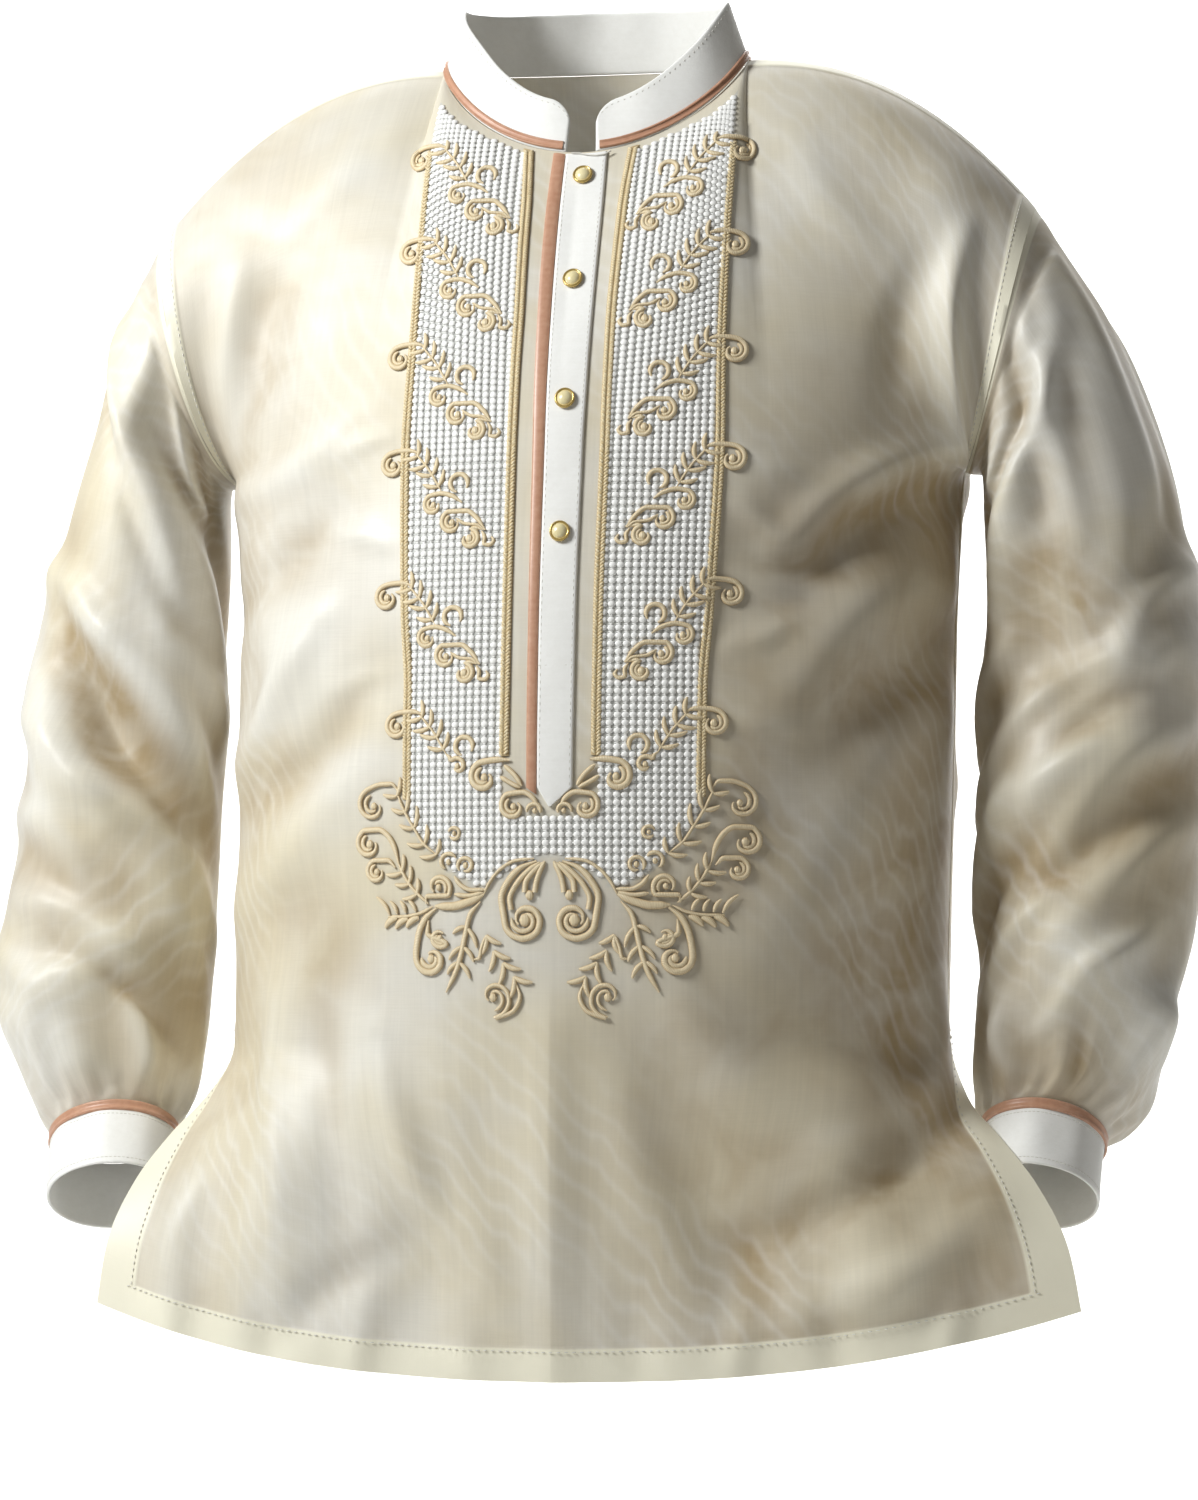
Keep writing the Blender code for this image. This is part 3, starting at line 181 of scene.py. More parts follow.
RIGHT_CREASES = (
    (112, -105, 12, -262, 16, 14, 5.8), (85, -105, -10, -225, 14, 12, -4.6),
    (150, -210, 50, -322, -14, 13, -5.2), (130, -330, 15, -398, 12, 13, 5.5),
    (150, -60, 100, -200, 6, 18, 4), (100, -90, 50, -280, 8, 18, 5), (190, -240, 120, -330, 8, 20, 6),
    (120, -250, 80, -360, 0, 20, -5), (160, -360, 80, -440, 8, 20, -5), (60, -420, 140, -480, 0, 18, 5),
    (250, -130, 280, -270, 0, 22, 4), (300, -310, 220, -420, 0, 22, 5), (180, -470, 120, -530, 0, 18, 5),
    (172, -80, 60, -205, 12, 10, 5.5), (150, -110, 52, -232, 10, 9, -4.5), (75, -45, 35, -150, 5, 9, 4.5),
    (50, -50, 22, -130, 3, 8, -3.4), (120, -40, 110, -120, 4, 10, 3), (192, -205, 110, -238, 10, 10, 5),
    (130, -228, 28, -320, 12, 11, 6.2), (165, -250, 50, -346, 10, 10, -5),
    (175, -285, 90, -352, 8, 10, 4.2), (60, -235, 15, -280, 4, 9, 4), (185, -340, 100, -395, 10, 11, 4.6),
    (90, -370, 25, -425, 6, 10, 4.4), (150, -398, 70, -440, 6, 10, 4), (120, -440, 45, -490, 6, 9, -4),
    (185, -420, 130, -480, 6, 10, 4.2), (70, -480, 60, -548, 3, 8, 3.6), (140, -490, 150, -555, 2, 8, 3.6),
    (260, -200, 330, -290, 10, 12, 4.5), (345, -250, 270, -350, 10, 12, 4.5),
    (305, -400, 250, -490, 6, 11, 4), (370, -340, 320, -450, 6, 12, -3.5),
    (240, -60, 235, -180, 4, 10, 3.4), (330, -70, 345, -190, 4, 11, 3.4),
)

# The sleeves, ring by ring from the armhole to the cuff's seam
SLEEVE_LEFT = {
    "ring": (1, 2, 3, 4, 5, 6, 7, 8, 9, 10, 11, 12, 13),
    "out_x": (0.283, 0.309, 0.329, 0.350, 0.360, 0.3665, 0.366, 0.363, 0.357, 0.350, 0.342, 0.331, 0.309),
    "out_z": (-0.119, -0.160, -0.205, -0.268, -0.325, -0.380, -0.430, -0.478, -0.525, -0.568, -0.603, -0.630,
              -0.648),
    "in_x": (0.234, 0.2345, 0.2345, 0.2345, 0.2345, 0.234, 0.234, 0.235, 0.233, 0.232, 0.232, 0.235,
             0.238),
    "in_z": (-0.252, -0.262, -0.276, -0.303, -0.345, -0.390, -0.435, -0.482, -0.530, -0.572, -0.605, -0.628,
             -0.643),
    "mid_y": (0.000, 0.002, 0.004, 0.007, 0.008, 0.006, 0.001, -0.005, -0.012, -0.018, -0.023, -0.027,
              -0.030),
    "depth": (0.062, 0.065, 0.067, 0.068, 0.069, 0.070, 0.069, 0.067, 0.065, 0.061, 0.056, 0.047,
              0.036),
    "lean": (0, 0, 2, 4, 6, 9, 12, 16, 20, 24, 28, 31, 33),
}
SLEEVE_RIGHT = dict(
    SLEEVE_LEFT,
    out_x=(0.284, 0.302, 0.314, 0.333, 0.346, 0.354, 0.360, 0.3655, 0.370, 0.369, 0.361, 0.350, 0.336),
    out_z=(-0.122, -0.165, -0.212, -0.272, -0.328, -0.380, -0.430, -0.478, -0.528, -0.570, -0.603, -0.633,
           -0.653),
    in_x=(0.2345, 0.236, 0.236, 0.2365, 0.238, 0.238, 0.239, 0.240, 0.241, 0.242, 0.246, 0.252, 0.259),
)
CUFF_RING = 13
RING_STEP = 0.045
HALF_ROUND = 0.205
GATHERS = 7
GATHER_DEPTH = 0.0030

# Cuffs, collar, placket and trimmings
CUFF_HEIGHT = 0.046
CUFF_HALF = 0.00085      # half the cuff's thickness
CUFF_OUT = 0.0002        # how far its middle lies outside the gathered end
CUFF_FLARE = 0.0008
COLLAR_HEIGHT = 0.038
COLLAR_FRONT = 0.033
COLLAR_MIDDLE = 0.036    # its usual height
COLLAR_WALL = 0.0020
COLLAR_LEAN = 0.34
CORNER_ROUND = 0.016
TRIM_HEIGHT = 0.0055
CUFF_TRIM_HEIGHT = 0.0075
PLACKET_BASE = 0.0004
PLACKET_WALL = 0.0015
LACE_BASE = 0.0003
BUTTON_X = 0.0034
BUTTON_Z = (-0.079, -0.1455, -0.219, -0.298)

# Colours
CREAM = "#ECE9DF"
WARM_CREAM = "#E4DBC2"
# Painted shade colour: the cloth is mixed towards it on its shaded sides, under the arms and in crease
# hollows
PAINTED_SHADE_TAN = "#B7A27E"
BRIGHT = "#FAF9F5"
HEM_TINT = "#F5F1DC"
WHITE = "#F7F7F4"
OPENWORK = "#FCFCFA"
# Painted shadow colour of the cloth under the openwork net
OPENWORK_SHADOW_GREY = "#DBDCD9"
COPPER = "#BC8A6E"
PEACH = "#D9B095"
# Gold thread colours: each finish puts its light colour on thread crests as painted light and its deep one
# between rows as painted shade
BRAID_GOLD = "#D8C294"
THREAD_GOLD = "#F2E2BF"
THREAD_DEEP = "#BEA170"
BUTTON_CREAM = "#EFE3B6"
BUTTON_RIM = "#C8AC66"


def tint(code):
    """A hex colour as linear red, green, blue and alpha."""
    parts = [int(code[i:i + 2], 16) / 255 for i in (1, 3, 5)]
    return tuple(c / 12.92 if c <= 0.04045 else ((c + 0.055) / 1.055) ** 2.4 for c in parts) + (1.0,)


# ---------------------------------------------------------------- forms

def hermite(start, end, leave, arrive, t):
    """A smooth way from start to end that leaves and arrives at the given slopes."""
    return ((2 * t**3 - 3 * t**2 + 1) * start + (t**3 - 2 * t**2 + t) * leave
            + (3 * t**2 - 2 * t**3) * end + (t**3 - t**2) * arrive)


def along(table, name, at, key="level"):
    """Read one named column of a table as a smooth curve that never overshoots its rows."""
    keys = np.asarray(table[key], float)
    values = np.asarray(table[name], float)
    steps = np.diff(keys)
    rates = np.diff(values) / steps
    slopes = np.zeros_like(values)
    same = rates[:-1] * rates[1:] > 0
    slopes[1:-1][same] = 2 * rates[:-1][same] * rates[1:][same] / (rates[:-1] + rates[1:])[same]
    slopes[0], slopes[-1] = rates[0], rates[-1]
    at = np.clip(at, keys[0], keys[-1])
    cell = np.clip(np.searchsorted(keys, at, side="right") - 1, 0, len(keys) - 2)
    t = (at - keys[cell]) / steps[cell]
    leave, arrive = slopes[cell] * steps[cell], slopes[cell + 1] * steps[cell]
    return hermite(values[cell], values[cell + 1], leave, arrive, t)


def ease(t):
    """A soft step from 0 to 1."""
    t = np.clip(t, 0, 1)
    return t * t * (3 - 2 * t)


def reached(path):
    """How far along a path each of its points lies."""
    return np.concatenate([[0], np.cumsum(np.linalg.norm(np.diff(path, axis=0), axis=1))])


def together(first, second):
    """Two sets of numbers in one shape."""
    return np.broadcast_arrays(np.asarray(first, float), np.asarray(second, float))


def angles(count):
    """Evenly spaced angles once round."""
    return np.arange(count) * 2 * math.pi / count


def read(path, at, place, period=None):
    """Points of a path read between its own at given places along it."""
    return np.stack([np.interp(at, place, path[:, k], period=period) for k in range(3)], -1)


def unit(v):
    """Directions one long."""
    return v / np.maximum(np.linalg.norm(v, axis=-1, keepdims=True), 1e-12)


def section(table, side, u, level):
    """A panel's section below the chest line. Side is -1 for the front and 1 for the back."""
    edge_x = along(table, "edge_x", level)
    edge_y = along(table, "edge_y", level)
    depth = side * along(table, "depth", level)
    flat = along(table, "flat", level)
    bend = u * math.pi / 2
    x = along(table, "mid_x", level) * u * u + edge_x * ((1 - flat) * np.sin(bend) + flat * u)
    y = edge_y + (depth - edge_y) * ((1 - flat) * np.cos(bend) + flat * (1 - u * u))
    below = ease((SLIT_TOP - level) / (SLIT_TOP - HEM))
    z = level + CORNER_LIFT * below * np.abs(u) ** 2.4
    return np.stack([x, y, z], -1)


def top_edge(side, u):
    """A panel's upper edge: half the neckline, then the shoulder seam."""
    share = np.abs(u)
    turn = np.clip(share / NECK_SHARE, 0, 1) * math.pi / 2
    run = np.clip((share - NECK_SHARE) / (1 - NECK_SHARE), 0, 1)
    reach = -NECK_FRONT if side < 0 else NECK_BACK
    drop = -NECK_DROP if side < 0 else NECK_RISE
    x = NECK_HALF * np.sin(turn) + (SHOULDER_HALF - NECK_HALF) * run
    y = SHOULDER_Y + (reach - SHOULDER_Y) * np.cos(turn)
    z = drop * np.maximum(np.cos(turn), 0) ** NECK_POWER - SHOULDER_DROP * run ** SHOULDER_POWER
    return np.stack([np.sign(u) * x, y, z], -1)


def creased(table, across, up, spread=1.0):
    """The height of a piece's creases at points across and up the cloth. Spread widens every crease."""
    height = np.zeros(np.broadcast(across, up).shape)
    for x0, z0, x1, z1, bow, width, rise in np.array(table) / 1000:
        run_x, run_z = x1 - x0, z1 - z0
        length = math.hypot(run_x, run_z)
        width = width * spread
        t = ((across - x0) * run_x + (up - z0) * run_z) / length**2
        near = np.clip(t, 0, 1)
        aside = ((across - x0) * run_z - (up - z0) * run_x) / length - bow * 4 * near * (1 - near)
        away = np.hypot(aside / width, (t - near) * length / (1.6 * width))
        height = height + rise * np.exp(-away * away) * (0.35 + 0.65 * np.sin(math.pi * (0.1 + 0.8 * near)))
    return height


def panel(side, u, level):
    """A point of a panel's outer face without creases. U runs from -1 to 1 between the side seams."""
    u, level = together(u, level)
    table = FRONT if side < 0 else BACK
    low = section(table, side, u, np.minimum(level, CHEST))
    t = np.clip((level - CHEST) / -CHEST, 0, 1)[..., None]
    start = section(table, side, u, np.full(u.shape, CHEST))
    before = section(table, side, u, np.full(u.shape, CHEST - 0.01))
    leave = (start - before) / 0.01 * 0.20
    outer = (np.abs(u) ** 5)[..., None]
    arm = np.stack([np.sign(u) * 0.05, np.full(u.shape, side * ARMHOLE_BULGE), np.full(u.shape, 0.01)], -1)
    leave = leave * (1 - outer) + arm * outer
    name = "front" if side < 0 else "back"
    share = np.abs(u)
    arrive = np.stack([np.zeros(u.shape), along(RISE, name + "_y", share, "share"),
                       along(RISE, name + "_z", share, "share")], -1)
    high = hermite(start, top_edge(side, u), leave, arrive, t)
    return np.where(t > 0, high, low)


def out_of(surface, side, u, level):
    """The outward normals of a panel's surface."""
    step = 0.0015
    across = surface(side, np.minimum(u + step, 1), level) - surface(side, np.maximum(u - step, -1), level)
    up = surface(side, u, np.minimum(level + step, 0)) - surface(side, u, np.maximum(level - step, HEM))
    return unit(np.cross(across, up)) * -side


def cloth(side, u, level):
    """A point of the front's or back's outer face, creases, doubled edges and all."""
    u, level = together(u, level)
    points = panel(side, u, level)
    table = FRONT_CREASES if side < 0 else BACK_CREASES
    free = level < SLIT_TOP - 0.001
    calm = ease((1 - np.abs(u)) / 0.12)
    calm = np.where(free, calm * 0.7 + 0.3, calm) * ease(-level / 0.05)
    if side < 0:
        outer = along(LINES, "outer", level)
        under_work = ease((outer + 0.03 - np.abs(u)) / 0.05) * ease((level - POINT_TIP + 0.05) / 0.03)
        calm = calm * (1 - 0.75 * under_work)
    height = CREASE_GAIN * creased(table, points[..., 0], points[..., 2]) * calm + 0.0004 * doubled(u, level)
    if side < 0:
        height = height + 0.0024 * np.exp(-np.abs(points[..., 0]) / 0.022) * ease((-0.545 - level) / 0.05)
    return points + out_of(panel, side, u, level) * height[..., None]


def doubled(u, level):
    """How far the cloth lies double: in the hem and in the slit facings."""
    hem = ease((HEM + HEM_DEPTH - level) / 0.0012)
    slit = ease((np.abs(u) - 1 + FACING_DEPTH / 0.25) / 0.006) * ease((SLIT_TOP + 0.012 - level) / 0.004)
    return np.maximum(hem, slit)


def pin(x, z):
    """The front's own coordinates of points given by their x and z."""
    x, z = np.asarray(x, float), np.asarray(z, float)
    u, level = x / 0.34, z.copy()
    for _ in range(10):
        level = np.clip(level, HEM, 0)
        here = panel(-1, u, level)
        wide = (panel(-1, u + 1e-4, level)[..., 0] - here[..., 0]) / 1e-4
        tall = (here[..., 2] - panel(-1, u, level - 1e-4)[..., 2]) / 1e-4
        u = u + (x - here[..., 0]) / wide
        level = level + (z - here[..., 2]) / tall
    return u, np.clip(level, HEM, -0.003)


def on_front(u, level, height=0.0):
    """Points at a height over the front's cloth, and the directions out of it there."""
    u, level = together(u, level)
    out = out_of(cloth, -1, u, level)
    return cloth(-1, u, level) + out * np.asarray(height)[..., None], out


def ring_normals(points):
    """The outward directions of a grid of points whose rows are closed rings."""
    down = np.gradient(points, axis=0)
    padded = np.concatenate([points[:, -1:], points, points[:, :1]], 1)
    return -unit(np.cross(np.gradient(padded, axis=1)[:, 1:-1], down))


# ---------------------------------------------------------------- meshes

def placed(name, data):
    """An object in the scene."""
    made = bpy.data.objects.new(name, data)
    bpy.context.scene.collection.objects.link(made)
    return made


def piece(name, points, faces, finish, uv, masks=None, period=0.0):
    """A named mesh with its cloth map and its masks on points. A map that closes on itself has a period."""
    mesh = bpy.data.meshes.new(name)
    mesh.from_pydata(np.asarray(points, float).tolist(), [], [tuple(map(int, f)) for f in faces])
    mesh.materials.append(finish)
    layer = mesh.uv_layers.new(name="cloth")
    corner = np.empty(len(mesh.loops), np.int32)
    mesh.loops.foreach_get("vertex_index", corner)
    values = np.asarray(uv, np.float32)[corner]
    if period:
        quads = values.reshape(-1, 4, 2)[..., 0]
        across = np.ptp(quads, axis=1, keepdims=True) > period / 2
        quads += period * (across & (quads < period / 2))
    layer.data.foreach_set("uv", values.ravel())
    for label, values in (masks or {}).items():
        spot = mesh.attributes.new(label, "FLOAT", "POINT")
        spot.data.foreach_set("value", np.asarray(values, np.float32).ravel())
    mesh.shade_smooth()
    mesh.set_sharp_from_angle(angle=math.radians(60))
    return placed(name, mesh)


def walled(name, outer, inner, finish, uv, masks=None, wrap=False, flip=False, skip=None):
    """A closed thin wall from two matching grids of points."""
    rows, columns = outer.shape[:2]
    spans = columns if wrap else columns - 1
    i, j = np.meshgrid(np.arange(rows - 1), np.arange(spans), indexing="ij")
    if skip is not None:
        keep = ~skip(i, j)
        i, j = i[keep], j[keep]
    i, j = i.ravel(), j.ravel()
    k = (j + 1) % columns
    quads = np.stack([i * columns + j, i * columns + k, (i + 1) * columns + k, (i + 1) * columns + j], 1)
    if flip:
        quads = quads[:, ::-1]
    count = rows * columns
    edges = np.concatenate([quads[:, [a, (a + 1) % 4]] for a in range(4)])
    forward = edges[:, 0].astype(np.int64) * count + edges[:, 1]
    backward = edges[:, 1].astype(np.int64) * count + edges[:, 0]
    rim = edges[~np.isin(forward, backward)]
    rims = np.stack([rim[:, 1], rim[:, 0], rim[:, 0] + count, rim[:, 1] + count], 1)
    faces = np.concatenate([quads, quads[:, ::-1] + count, rims])
    points = np.concatenate([outer.reshape(-1, 3), inner.reshape(-1, 3)])
    used = np.unique(faces)
    place = np.zeros(2 * count, int)
    place[used] = np.arange(len(used))
    both = {k: np.concatenate([v.ravel(), v.ravel()])[used] for k, v in (masks or {}).items()}
    flat = np.concatenate([uv.reshape(-1, 2), uv.reshape(-1, 2)])[used]
    period = np.ptp(uv[..., 0]) * columns / (columns - 1) if wrap else 0.0
    return piece(name, points[used], place[faces], finish, flat, both, period=period)


def band(name, shares, levels, heights, base, finish):
    """A strip laid on the front: a grid of shares and levels with its outer face's heights."""
    shares, levels, heights = np.broadcast_arrays(shares, levels, heights)
    outer, _ = on_front(shares, levels, heights)
    inner, _ = on_front(shares, levels, np.full(shares.shape, base))
    return walled(name, outer, inner, finish, np.stack([shares * 0.22, levels], -1))


# ---------------------------------------------------------------- beads laid by Geometry Nodes

def node(tree, kind, feeds=None, **settings):
    """A new node with its settings, its constants and its links."""
    made = tree.nodes.new(kind)
    for key, value in settings.items():
        setattr(made, key, value)
    for key, value in (feeds or {}).items():
        socket = made.inputs[key]
        if isinstance(value, bpy.types.NodeSocket):
            tree.links.new(value, socket)
        else:
            socket.default_value = value
    return made


def bead_tree():
    """Nodes that set one rounded bead on every point, turned and sized by the point's attributes."""
    tree = bpy.data.node_groups.new("Lay beads", "GeometryNodeTree")
    face = tree.interface
    face.new_socket(name="Geometry", in_out="INPUT", socket_type="NodeSocketGeometry")
    sides = face.new_socket(name="Sides", in_out="INPUT", socket_type="NodeSocketInt")
    sides.default_value = 6
    rings = face.new_socket(name="Rings", in_out="INPUT", socket_type="NodeSocketInt")
    rings.default_value = 4
    face.new_socket(name="Finish", in_out="INPUT", socket_type="NodeSocketMaterial")
    face.new_socket(name="Geometry", in_out="OUTPUT", socket_type="NodeSocketGeometry")
    start, end = tree.nodes.new("NodeGroupInput"), tree.nodes.new("NodeGroupOutput")
    ball = node(tree, "GeometryNodeMeshUVSphere", {
        "Segments": start.outputs["Sides"], "Rings": start.outputs["Rings"], "Radius": 0.5})
    soft = node(tree, "GeometryNodeSetShadeSmooth", {"Geometry": ball.outputs["Mesh"]})
    out, run, size = (
        node(tree, "GeometryNodeInputNamedAttribute", {"Name": label}, data_type="FLOAT_VECTOR")
        for label in ("out", "run", "size"))
    stand = node(tree, "FunctionNodeAlignRotationToVector", {"Vector": out.outputs["Attribute"]}, axis="Z")
    turn = node(tree, "FunctionNodeAlignRotationToVector", {
        "Rotation": stand.outputs["Rotation"], "Vector": run.outputs["Attribute"]}, axis="X", pivot_axis="Z")
    spots = node(tree, "GeometryNodeMeshToPoints", {"Mesh": start.outputs["Geometry"]})
    laid = node(tree, "GeometryNodeInstanceOnPoints", {
        "Points": spots.outputs["Points"], "Instance": soft.outputs["Geometry"],
        "Rotation": turn.outputs["Rotation"], "Scale": size.outputs["Attribute"]})
    real = node(tree, "GeometryNodeRealizeInstances", {"Geometry": laid.outputs["Instances"]})
    done = node(tree, "GeometryNodeSetMaterial", {
        "Geometry": real.outputs["Geometry"], "Material": start.outputs["Finish"]})
    tree.links.new(done.outputs["Geometry"], end.inputs["Geometry"])
    return tree


def beads(name, points, outs, runs, sizes, finish, sides=6, rings=4):
    """One mesh of beads, each sized along its run, across it and out of the cloth. Lists hold rows."""
    points, outs, runs = (np.vstack(a) if isinstance(a, list) else a for a in (points, outs, runs))
    sizes = np.broadcast_to(np.asarray(sizes, float), points.shape)
    mesh = bpy.data.meshes.new(name + "_spots")
    mesh.from_pydata(points.tolist(), [], [])
    for label, values in (("out", outs), ("run", runs), ("size", sizes)):
        spot = mesh.attributes.new(label, "FLOAT_VECTOR", "POINT")
        spot.data.foreach_set("vector", np.ascontiguousarray(values, np.float32).ravel())
    holder = placed(name + "_spots", mesh)
    layer = holder.modifiers.new("Lay beads", "NODES")
    tree = bpy.data.node_groups.get("Lay beads") or bead_tree()
    layer.node_group = tree
    keys = {item.name: item.identifier for item in tree.interface.items_tree if item.in_out == "INPUT"}
    layer[keys["Sides"]] = sides
    layer[keys["Rings"]] = rings
    layer[keys["Finish"]] = finish
    holder.update_tag()
    view = bpy.context.evaluated_depsgraph_get()
    view.update()
    solid = bpy.data.meshes.new_from_object(holder.evaluated_get(view))
    solid.name = name
    bpy.data.objects.remove(holder)
    return placed(name, solid)


def on_cloth(side, u, level, height=0.0):
    """Points over a panel with the directions out of it, across it and up it."""
    u, level = together(u, level)
    out = out_of(cloth, side, u, level)
    points = cloth(side, u, level) + out * np.asarray(height, float)[..., None]
    higher = np.minimum(level + 0.001, 0)
    rise = panel(side, u, higher) - panel(side, u, higher - 0.002)
    up = unit(rise - out * np.sum(rise * out, -1, keepdims=True))
    return points, out, np.cross(up, out), up


# ---------------------------------------------------------------- panels, sleeves and cuffs

def in_openwork(u, level, spare=0.0):
    """Where the openwork lies: two strips beside the placket and the U that joins them below it."""
    share = np.abs(u)
    inner, outer = along(LINES, "inner", level), along(LINES, "outer", level)
    foot = np.interp(share, LACE_FOOT["share"], LACE_FOOT["level"])
    top = -0.008 - 0.016 * ease((share - 0.12) / 0.16)
    beside = (share > inner + spare) & (share < outer - spare) & (level < top)
    below = (share <= outer - spare) & (level < POINT_TIP - 0.006)
    return (beside | below) & (level > foot + spare * 0.3)


def seam_fell(side, u, level):
    """Flat seams along the armholes, the side seams and the shoulders."""
    share = np.abs(u)
    arm = ease((share - 0.965) / 0.004) * ease((level - CHEST + 0.002) / 0.002)
    flank = ease((share - 0.974) / 0.004) * (level < CHEST) * (level > SLIT_TOP) * (side < 0)
    shoulder = ease((level + 0.010) / 0.001) * (share > NECK_SHARE) * (side < 0)
    return np.maximum(np.maximum(arm, flank), shoulder)


def make_panel(name, side, columns, finish):
    """The front or the back as a thin closed wall, slit down the front's centre to the placket's foot."""
    step = 0.0012
    facing = 1 - FACING_DEPTH / 0.25
    extra = [facing, facing + 0.006, 0.965, 0.969, 0.974, 0.978]
    extra += [SLIT_HALF] if side < 0 else []
    u = np.linspace(-1, 1, columns)
    u = u[np.abs(u) > 0.002] if side < 0 else u
    u = np.unique(np.concatenate([u, extra, np.negative(extra)]))
    low = np.linspace(HEM, CHEST, 126 if side < 0 else 104)
    levels = np.unique(np.concatenate([
        low, np.linspace(CHEST, 0, 66 if side < 0 else 54),
        [HEM + HEM_DEPTH - step, HEM + HEM_DEPTH, SLIT_TOP - 0.001, SLIT_TOP + 0.001, SLIT_END,
         SLIT_TOP + 0.012, SLIT_TOP + 0.008, -0.0099, -0.0088]]))
    u, level = np.meshgrid(u, levels)
    points = cloth(side, u, level)
    fell = seam_fell(side, u, level)
    normals = out_of(cloth, side, u, level)
    points = points + normals * (0.0005 * fell)[..., None]
    edge = np.abs(u) > 0.999
    free = level < SLIT_TOP - 0.0005
    seamed = edge & ~free
    hole = edge & (level > CHEST - 0.001)
    radial = unit(points * [0, 1, 1] - [0, 0, ARMHOLE_MIDDLE])
    normals = np.where(seamed[..., None], unit(normals * [1, 0, 1]), normals)
    normals = np.where(hole[..., None], unit(normals + radial), normals)
    crest = (level > -0.001) & (np.abs(u) > NECK_SHARE - 0.001)
    normals = np.where(crest[..., None], unit(normals * [1, 0, 1]), normals)
    half = SEAM_GAP / 2
    points[..., 1] += np.where(seamed & (level < CHEST + 0.001) | crest, side * half, 0.0)
    points[..., 0] -= np.where(hole, np.sign(u) * half, 0.0)
    twice = np.maximum(doubled(u, level), fell)
    inner = points - normals * (THIN + 0.0004 * twice)[..., None]
    # The open mask marks the openwork, where the cloth takes its painted shadow grey and some alpha; the
    # painted shade mask sets the cloth's painted warm shade
    masks = {"double": twice, "open": in_openwork(u, level, 0.002) * (side < 0) * 1.0,
             "painted_shade": painted_shade_mask(side, points)}
    uv = np.stack([u * 0.33, level], -1)
    skip = None
    if side < 0:
        middle = int(np.argmin(np.abs(u[0] + SLIT_HALF)))

        def skip(i, j):
            return (j == middle) & (levels[i] > SLIT_END - 1e-6)

    return walled(name, points, inner, finish, uv, masks, flip=side > 0, skip=skip)


def painted_shade_mask(side, points):
    """Painted warm shade on the cloth: a little everywhere, more towards the sides, under the arms, towards
    the wearer's left and low down, more in crease hollows and less on crease ridges away from the middle.
    """
    x, z = points[..., 0], points[..., 2]
    flank = ease((np.abs(x) - 0.12) / 0.10)
    under = np.exp(-((np.abs(x) - 0.20) / 0.05) ** 2 - ((z + 0.30) / 0.10) ** 2)
    far = ease((x + 0.02) / 0.16) * ease((-0.12 - z) / 0.30)
    table = FRONT_CREASES if side < 0 else BACK_CREASES
    folds = CREASE_GAIN * creased(table, x, z) * ease((np.abs(x) - 0.09) / 0.04)
    return np.clip(0.10 + 0.30 * flank + 0.35 * under + 0.55 * far - folds * 70, 0, 1)


def armhole(turn):
    """The edge of the left armhole: turn 0 is the underarm, pi the shoulder's end."""
    ahead = turn <= math.pi
    level = CHEST * np.where(ahead, 1 - turn / math.pi, turn / math.pi - 1)
    one = np.ones(turn.shape)
    points = np.where(ahead[:, None], cloth(-1, one, level), cloth(1, one, level))
    facing = np.where(ahead[:, None], out_of(cloth, -1, one, level), out_of(cloth, 1, one, level))
    radial = unit(points * [0, 1, 1] - [0, 0, ARMHOLE_MIDDLE])
    points[:, 0] += SEAM_GAP / 2
    return points, unit(facing + radial)


def sleeve_ring(table, ring, turn):
    """A point of a sleeve for the wearer's left, with the ring's middle and the way down the sleeve."""
    ring, turn = together(ring, turn)
    none = np.zeros(ring.shape)
    out = np.stack([along(table, "out_x", ring, "ring"), none, along(table, "out_z", ring, "ring")], -1)
    inner = np.stack([along(table, "in_x", ring, "ring"), none, along(table, "in_z", ring, "ring")], -1)
    middle = (out + inner) / 2
    middle[..., 1] = along(table, "mid_y", ring, "ring")
    half = (out - inner) / 2
    lean = np.radians(along(table, "lean", ring, "ring"))
    depth = along(table, "depth", ring, "ring")
    ahead = np.stack([none, -depth * np.cos(lean), depth * np.sin(lean)], -1)
    point = middle - half * np.cos(turn)[..., None] + ahead * np.sin(turn)[..., None]
    return point, middle, np.cross(half, ahead)


